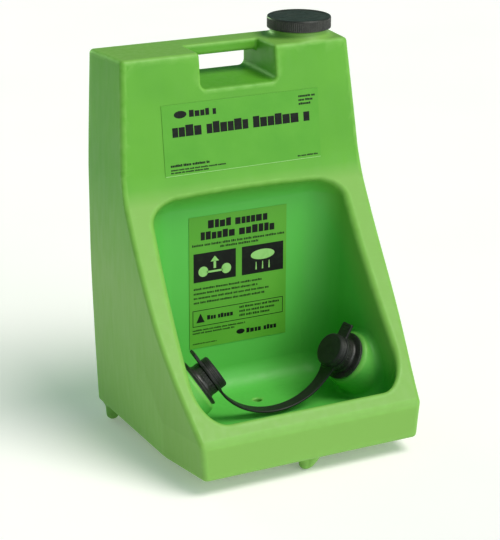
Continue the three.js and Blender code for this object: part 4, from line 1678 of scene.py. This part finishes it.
def front_label() -> Label:
    """The label on the upright panel: one heavy line, small blocks of print in its corners, and a painted
    highlight along its foot.

    Returns:
        The label.
    """
    ink = Print()
    ink.words(-112, 112, 56, 16.5, 3, 0.9)
    ink.words(-84, -40, 83, 10, 5, 0.84)
    ink.disc(-98, 88, 10, 5.4)
    for k in range(3):
        ink.words(94, 122 - 4 * k, 92 - 5.6 * k, 3.4, 11 + k, 0.85)
    ink.words(-118, -56, 13.5, 3.6, 21, 0.85)
    ink.words(-118, -30, 8, 2.4, 22, 0.8)
    ink.words(-118, -58, 4, 2.4, 23, 0.8)
    ink.words(88, 122, 4.5, 2.4, 24, 0.8)
    # Painted highlight: a pale line along the label's foot, where its edge catches the light, laid in the pale
    # ink.
    glint = Print()
    glint.bar(-126.4, 0.3, 126.4, 1.2)
    return Label("front_label", 127, ink, glint, math.atan2(25.0, 184.5), (71.95, 571.5), 69, 103)


def instruction_label() -> Label:
    """The label on the bowl's back wall: a heading, two pictures, four steps, a bordered note.

    Returns:
        The label.
    """
    ink, pale = Print(), Print()
    ink.words(-50, 50, 186, 12.5, 31, 0.84)
    ink.words(-62, 62, 169, 12.5, 32, 0.84)
    ink.words(-76, 78, 160, 3.6, 33)
    ink.words(-30, 34, 154, 3.6, 34)
    ink.bar(-74, 104, -4, 149)
    ink.bar(6, 104, 76, 149)
    pale.disc(-58, 120, 8, 8)
    pale.disc(-20, 120, 8, 8)
    pale.bar(-52, 117, -26, 120)
    pale.bar(-41, 123, -37, 135)
    pale.shapes.append([[-46, 134], [-32, 134], [-38.6, 142], [-39.4, 142]])
    pale.disc(41, 133, 20, 8)
    for x in (30, 41, 52):
        pale.shapes.append([[x - 1.2, 110], [x + 1.2, 110], [x + 0.5, 122], [x - 0.5, 122]])
    ink.disc(41, 133, 6, 6)
    for k in range(4):
        ink.words(-74, 40 - 13 * (k % 2) + 6 * k, 92 - 7.2 * k, 3.4, 41 + k)
    ink.frame(-76, 34, 76, 60, 1.1)
    ink.shapes.append([[-70, 40], [-56, 40], [-62.6, 54], [-63.4, 54]])
    ink.words(-52, -8, 43, 7, 51, 0.82)
    for k in range(3):
        ink.words(2, 70 - 8 * k, 52.5 - 6.6 * k, 3.6, 52 + k)
    ink.words(-76, 12, 27, 2.6, 61)
    ink.words(-76, -6, 22.5, 2.6, 62)
    ink.disc(4, 15, 7, 4)
    ink.words(14, 66, 11, 7.5, 63, 0.8)
    ink.words(-76, -36, 6, 2, 64)
    return Label("instruction_label", 81, ink, pale, 0.0, (69.95, 328.0), 0, 206)


# ---------------------------------------------------------------- studio

@dataclass
class Studio:
    """Pale floor, soft lights and the camera."""

    focal_px: float = 1926.0
    azimuth: float = -28.08
    elevation: float = 19.18
    roll: float = 0.48
    distance: float = 2807.6
    aim: tuple = (0.0, 0.0, 280.0)
    aim_right: float = 23.86
    aim_up: float = -17.68
    centre_px: tuple = (276.09, 267.37)
    frame_px: tuple = (500, 540)
    film_mm: float = 36.0
    floor_half: float = 30000.0
    floor_z: float = -0.4
    floor_tones: tuple = ((255, 248, 252), (252, 245, 249))
    floor_glow: float = 0.17
    sky_tone: tuple = (0.56, 1, 0.86, 1)
    sky_strength: float = 0.19
    lamps: tuple = (
        ("key", (0.3, -0.42, 0.86), 34, 2.3, (1.0, 0.96, 0.9)),
        ("front_fill", (0.4, -0.87, 0.28), 44, 1.1, (0.94, 1.0, 0.98)),
        ("rear_fill", (-0.22, 0.96, 0.12), 24, 1.5, (0.6, 1.0, 0.45)),
    )

    def camera(self) -> None:
        """Place the camera, its axes turned by azimuth, elevation and roll."""
        az, el, roll = (math.radians(v) for v in (self.azimuth, self.elevation, self.roll))
        forward = Vector((-math.sin(az) * math.cos(el), math.cos(az) * math.cos(el), -math.sin(el)))
        level = Vector((math.cos(az), math.sin(az), 0))
        above = level.cross(forward)
        right = level * math.cos(roll) + above * math.sin(roll)
        up = above * math.cos(roll) - level * math.sin(roll)
        where = Vector(self.aim) + right * self.aim_right + up * self.aim_up - forward * self.distance
        data = bpy.data.cameras.new("camera")
        data.sensor_width = self.film_mm
        data.lens = self.focal_px * self.film_mm / self.frame_px[1]
        data.shift_x = (self.frame_px[0] / 2 - self.centre_px[0]) / self.frame_px[1]
        data.shift_y = (self.centre_px[1] - self.frame_px[1] / 2) / self.frame_px[1]
        data.clip_end = 50
        obj = bpy.data.objects.new("camera", data)
        rows = Matrix((right, up, -forward)).transposed().to_4x4()
        obj.matrix_world = Matrix.Translation(where * MM) @ rows
        bpy.context.scene.collection.objects.link(obj)
        bpy.context.scene.camera = obj

    def soft_sun(self, name: str, toward: tuple, spread: float, power: float, tone: tuple) -> None:
        """Hang a wide soft lamp far off in a direction from the station.

        Args:
            name: The lamp's name.
            toward: Direction from the station to the lamp.
            spread: How wide the lamp looks from the station, in degrees.
            power: Its strength.
            tone: Its colour.
        """
        data = bpy.data.lights.new(name, "SUN")
        data.angle, data.energy, data.color = math.radians(spread), power, tone
        obj = bpy.data.objects.new(name, data)
        obj.rotation_euler = Vector(toward).normalized().to_track_quat("Z", "Y").to_euler()
        bpy.context.scene.collection.objects.link(obj)

    def build(self) -> None:
        """Set up floor, sky, lights and camera."""
        side, low = self.floor_half, self.floor_z
        corners = np.array([[-side, -side, low], [side, -side, low], [side, side, low], [-side, side, low]])
        floor = new_object("floor", corners, [[0, 1, 2, 3]], smooth=False)
        s = Sheet("pale_floor")
        cloud = s.spread(s.noise(400, 2), 0.3, 0.7, (0, 1))
        tone = s.tint(cloud, *(linear(tone) for tone in self.floor_tones))
        floor.data.materials.append(s.finish(tone, 0.85, s.bump(s.noise(3, 2), 0.02),
                                             Emission_Strength=self.floor_glow, Emission_Color=(1, 1, 1, 1)))
        world = bpy.data.worlds.new("studio")
        bpy.context.scene.world = world
        world.use_nodes = True
        tree = world.node_tree
        sky = tree.nodes["Background"]
        sky.inputs["Color"].default_value = self.sky_tone
        sky.inputs["Strength"].default_value = self.sky_strength
        white = tree.nodes.new("ShaderNodeBackground")
        white.inputs["Color"].default_value = (1, 1, 1, 1)
        path, mix = tree.nodes.new("ShaderNodeLightPath"), tree.nodes.new("ShaderNodeMixShader")
        tree.links.new(path.outputs["Is Camera Ray"], mix.inputs[0])
        tree.links.new(sky.outputs[0], mix.inputs[1])
        tree.links.new(white.outputs[0], mix.inputs[2])
        tree.links.new(mix.outputs[0], tree.nodes["World Output"].inputs["Surface"])
        for lamp in self.lamps:
            self.soft_sun(*lamp)
        bpy.context.scene.view_settings.view_transform = "Standard"
        bpy.context.scene.view_settings.look = "None"
        self.camera()


# ---------------------------------------------------------------- station

@dataclass
class Station:
    """The whole eyewash station."""

    finishes: Finishes = field(default_factory=Finishes)

    def dress_kept_nodes(self) -> None:
        """Give the CAD nodes that stay in view their finishes."""
        wear = {
            "cap_liner": Finish.GREY_RUBBER, "vent_plug": Finish.WHITE,
            "nozzle_gasket": Finish.GREY_RUBBER, "cap_seal": Finish.GREY_RUBBER,
            "lock_washer": Finish.WHITE, "lock_nut": Finish.HARD_BLACK,
            "spray_plate": Finish.WHITE, "inlet_screen": Finish.STEEL,
        }
        for name, node in bpy.data.objects.items():
            kind = next((k for k in wear if name.startswith(k)), None)
            if kind and node.type == "MESH":
                self.finishes.dress(node, wear[kind])

    def build(self) -> list[bpy.types.Object]:
        """Make every piece in order.

        Returns:
            The pieces made, in that order.
        """
        made = TankShell().build(self.finishes)
        made.append(FillerCap().build(self.finishes))
        for side in Side:
            made.append(SprayNozzle().build(side, self.finishes))
            made.append(RubberCap().build(side, self.finishes))
        made.append(PullStrap().build(self.finishes))
        for label in (front_label(), instruction_label()):
            made += label.build(self.finishes)
        self.dress_kept_nodes()
        return made


def main() -> None:
    """Load the frame, build the studio and the station, and log each piece's triangles."""
    logging.basicConfig(level=logging.INFO, format="%(name)s: %(message)s")
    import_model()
    Studio().build()
    for piece in Station().build():
        mesh = piece.data
        mesh.calc_loop_triangles()
        log.info("%s: %d triangles", piece.name, len(mesh.loop_triangles))
    bpy.context.view_layer.update()


if __name__ == "__main__":
    main()
